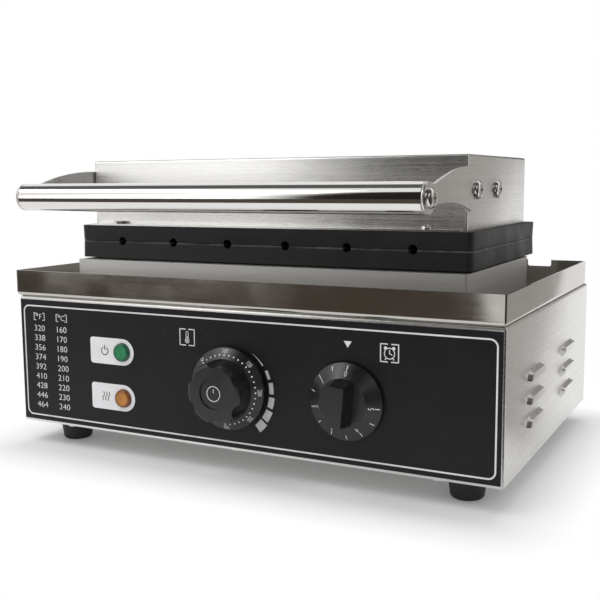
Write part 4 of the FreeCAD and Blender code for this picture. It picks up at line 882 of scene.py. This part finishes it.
# stage: pale floor, white surround, soft lamps, and cards that only reflections see
stageLight = {
    "ambient": 0.5,
    "floorColor": (0.86, 0.86, 0.86),
    "floorRough": 0.7,
    "floorSize": 6.0,
    "footprint": (0.195, 0.14, 0.0),  # half sizes of the floor's shaded middle
    "shadowReach": 0.05,              # distance over which the floor turns white
    "shadowLift": 0.10,               # how much white the middle keeps
}
stageLamps = {
    "keyLamp": {"place": (-0.75, -0.55, 1.55), "aim": (0, 0, 0.1), "size": (1.5, 1.1), "power": 13.0},
    "fillLamp": {"place": (1.1, -0.9, 1.1), "aim": (0, 0, 0.12), "size": (1.0, 1.0), "power": 5.0},
    "topLamp": {"place": (0.1, 0.5, 1.7), "aim": (0, 0, 0.1), "size": (1.6, 1.0), "power": 7.0},
}


def addLamp(name, look):
    data = bpy.data.lights.new(name, "AREA")
    data.shape = "RECTANGLE"
    data.size, data.size_y = look["size"]
    data.energy = look["power"]
    lamp = bpy.data.objects.new(name, data)
    lamp.location = look["place"]
    lamp.visible_glossy = False  # steel mirrors the cards instead
    toward = Vector(look["aim"]) - Vector(look["place"])
    lamp.rotation_euler = toward.to_track_quat("-Z", "Y").to_euler()
    bpy.context.scene.collection.objects.link(lamp)


def seenRays(tree):
    path = add(tree, "LightPath")
    seen = calc(tree, "MAXIMUM", path.outputs["Is Camera Ray"], path.outputs["Is Glossy Ray"])
    return calc(tree, "MAXIMUM", seen, path.outputs["Is Transmission Ray"])


def addSurround(light):
    world = bpy.data.worlds.new("whiteSurround")
    world.use_nodes = True
    bpy.context.scene.world = world
    tree = world.node_tree
    tree.nodes.clear()
    soft = add(tree, "Background", {"Color": (1, 1, 1, 1), "Strength": light["ambient"]})
    white = add(tree, "Background", {"Color": (1, 1, 1, 1), "Strength": 1.0})
    mix = add(tree, "MixShader", {0: seenRays(tree), 1: soft.outputs[0], 2: white.outputs[0]})
    add(tree, "OutputWorld", {0: mix.outputs[0]})


def addFloor(light):
    bm = bmesh.new()
    bmesh.ops.create_grid(bm, x_segments=8, y_segments=8, size=light["floorSize"])
    mesh = bpy.data.meshes.new("paleFloor")
    bm.to_mesh(mesh)
    bm.free()
    floor = bpy.data.objects.new("paleFloor", mesh)
    material, tree, shader = newMaterial("paleFloor", Roughness=light["floorRough"])
    shader.inputs["Base Color"].default_value = (*light["floorColor"], 1)
    away = vectorCalc(tree, "ABSOLUTE", add(tree, "TexCoord").outputs["Object"])
    past = vectorCalc(tree, "SUBTRACT", away, light["footprint"])
    far = lengthOf(tree, vectorCalc(tree, "MAXIMUM", past))
    white = remap(tree, far, light["shadowLift"], 1.0, 0.0, light["shadowReach"])
    glow = add(tree, "Emission", {"Color": (1, 1, 1, 1), "Strength": 1.0})
    share = calc(tree, "MULTIPLY", white, seenRays(tree))
    mix = add(tree, "MixShader", {0: share, 1: shader.outputs[0], 2: glow.outputs[0]})
    tree.links.new(mix.outputs[0], tree.nodes["Material Output"].inputs["Surface"])
    mesh.materials.append(material)
    bpy.context.scene.collection.objects.link(floor)


# each card is four corners and the shade it shows, and most are dark, as a deep room is
# where a card has a far shade, it turns to that between two shares of its width
reflectionCards = {
    "darkFloorCard": {
        "corners": ((-0.86, -0.42, 0.002), (0.12, -0.42, 0.002), (-0.22, -1.5, 0.03), (-1.7, -1.5, 0.03)),
        "shade": (0.045, 0.037, 0.031), "far": (0.085, 0.068, 0.055), "turn": (0.12, 0.55)},
    "roomCard": {
        "corners": ((-1.5, -1.5, 0.03), (0.7, -1.5, 0.03), (0.7, -1.5, 2.6), (-1.5, -1.5, 0.6)),
        "shade": (1.75, 1.75, 1.73), "far": (0.02, 0.018, 0.016), "turn": (0.32, 0.41)},
    "ceilingCard": {
        "corners": ((-2.0, -0.5, 1.35), (2.0, -0.5, 1.35), (2.0, 0.25, 1.35), (-2.0, 0.25, 1.35)),
        "shade": (0.12, 0.12, 0.12)},
    "windowCard": {
        "corners": ((-1.1, -0.6, 0.8), (-0.42, -1.0, 0.8), (-0.42, -0.9, 1.2), (-1.1, -0.5, 1.2)),
        "shade": (4.6, 4.6, 4.6)},
    "beamCard": {
        "corners": ((-0.25, -1.5, 1.7), (2.0, -1.5, 2.4), (2.0, -0.5, 1.35), (-0.25, -0.5, 1.35)),
        "shade": (0.05, 0.05, 0.05)},
    "backCard": {
        "corners": ((-0.5, 1.5, 0.3), (1.0, 1.5, 0.3), (1.0, 1.5, 1.5), (-0.5, 1.5, 1.5)),
        "shade": (0.12, 0.115, 0.11)},
    "doorCard": {
        "corners": ((0.25, -0.1, 0.003), (0.3, -0.95, 0.003), (1.4, -0.95, 1.3), (1.3, -0.1, 1.3)),
        "shade": (0.05, 0.046, 0.042)},
    "sideCard": {
        "corners": ((0.23, 0.05, 0.003), (1.6, 0.05, 0.003), (1.9, 1.4, 0.9), (0.3, 1.4, 0.9)),
        "shade": (0.4, 0.385, 0.365)},
}


def addCard(name, card):
    mesh = bpy.data.meshes.new(name)
    mesh.from_pydata(card["corners"], [], [(0, 1, 2, 3)])
    material, tree, _ = newMaterial(name)
    shade = (*card["shade"], 1.0)
    if "far" in card:
        across = add(tree, "SeparateXYZ", {0: add(tree, "TexCoord").outputs["Generated"]}).outputs["X"]
        turned = remap(tree, across, 0.0, 1.0, *card["turn"])
        shade = blendColor(tree, turned, card["shade"], card["far"])
    glow = add(tree, "Emission", {"Color": shade, "Strength": 1.0})
    tree.links.new(glow.outputs[0], tree.nodes["Material Output"].inputs["Surface"])
    mesh.materials.append(material)
    piece = bpy.data.objects.new(name, mesh)
    piece.visible_camera = False
    piece.visible_diffuse = False
    piece.visible_shadow = False
    piece.visible_transmission = False
    bpy.context.scene.collection.objects.link(piece)


addSurround(stageLight)
addFloor(stageLight)
for name, look in stageLamps.items():
    addLamp(name, look)
for name, card in reflectionCards.items():
    addCard(name, card)
print("stage lit")
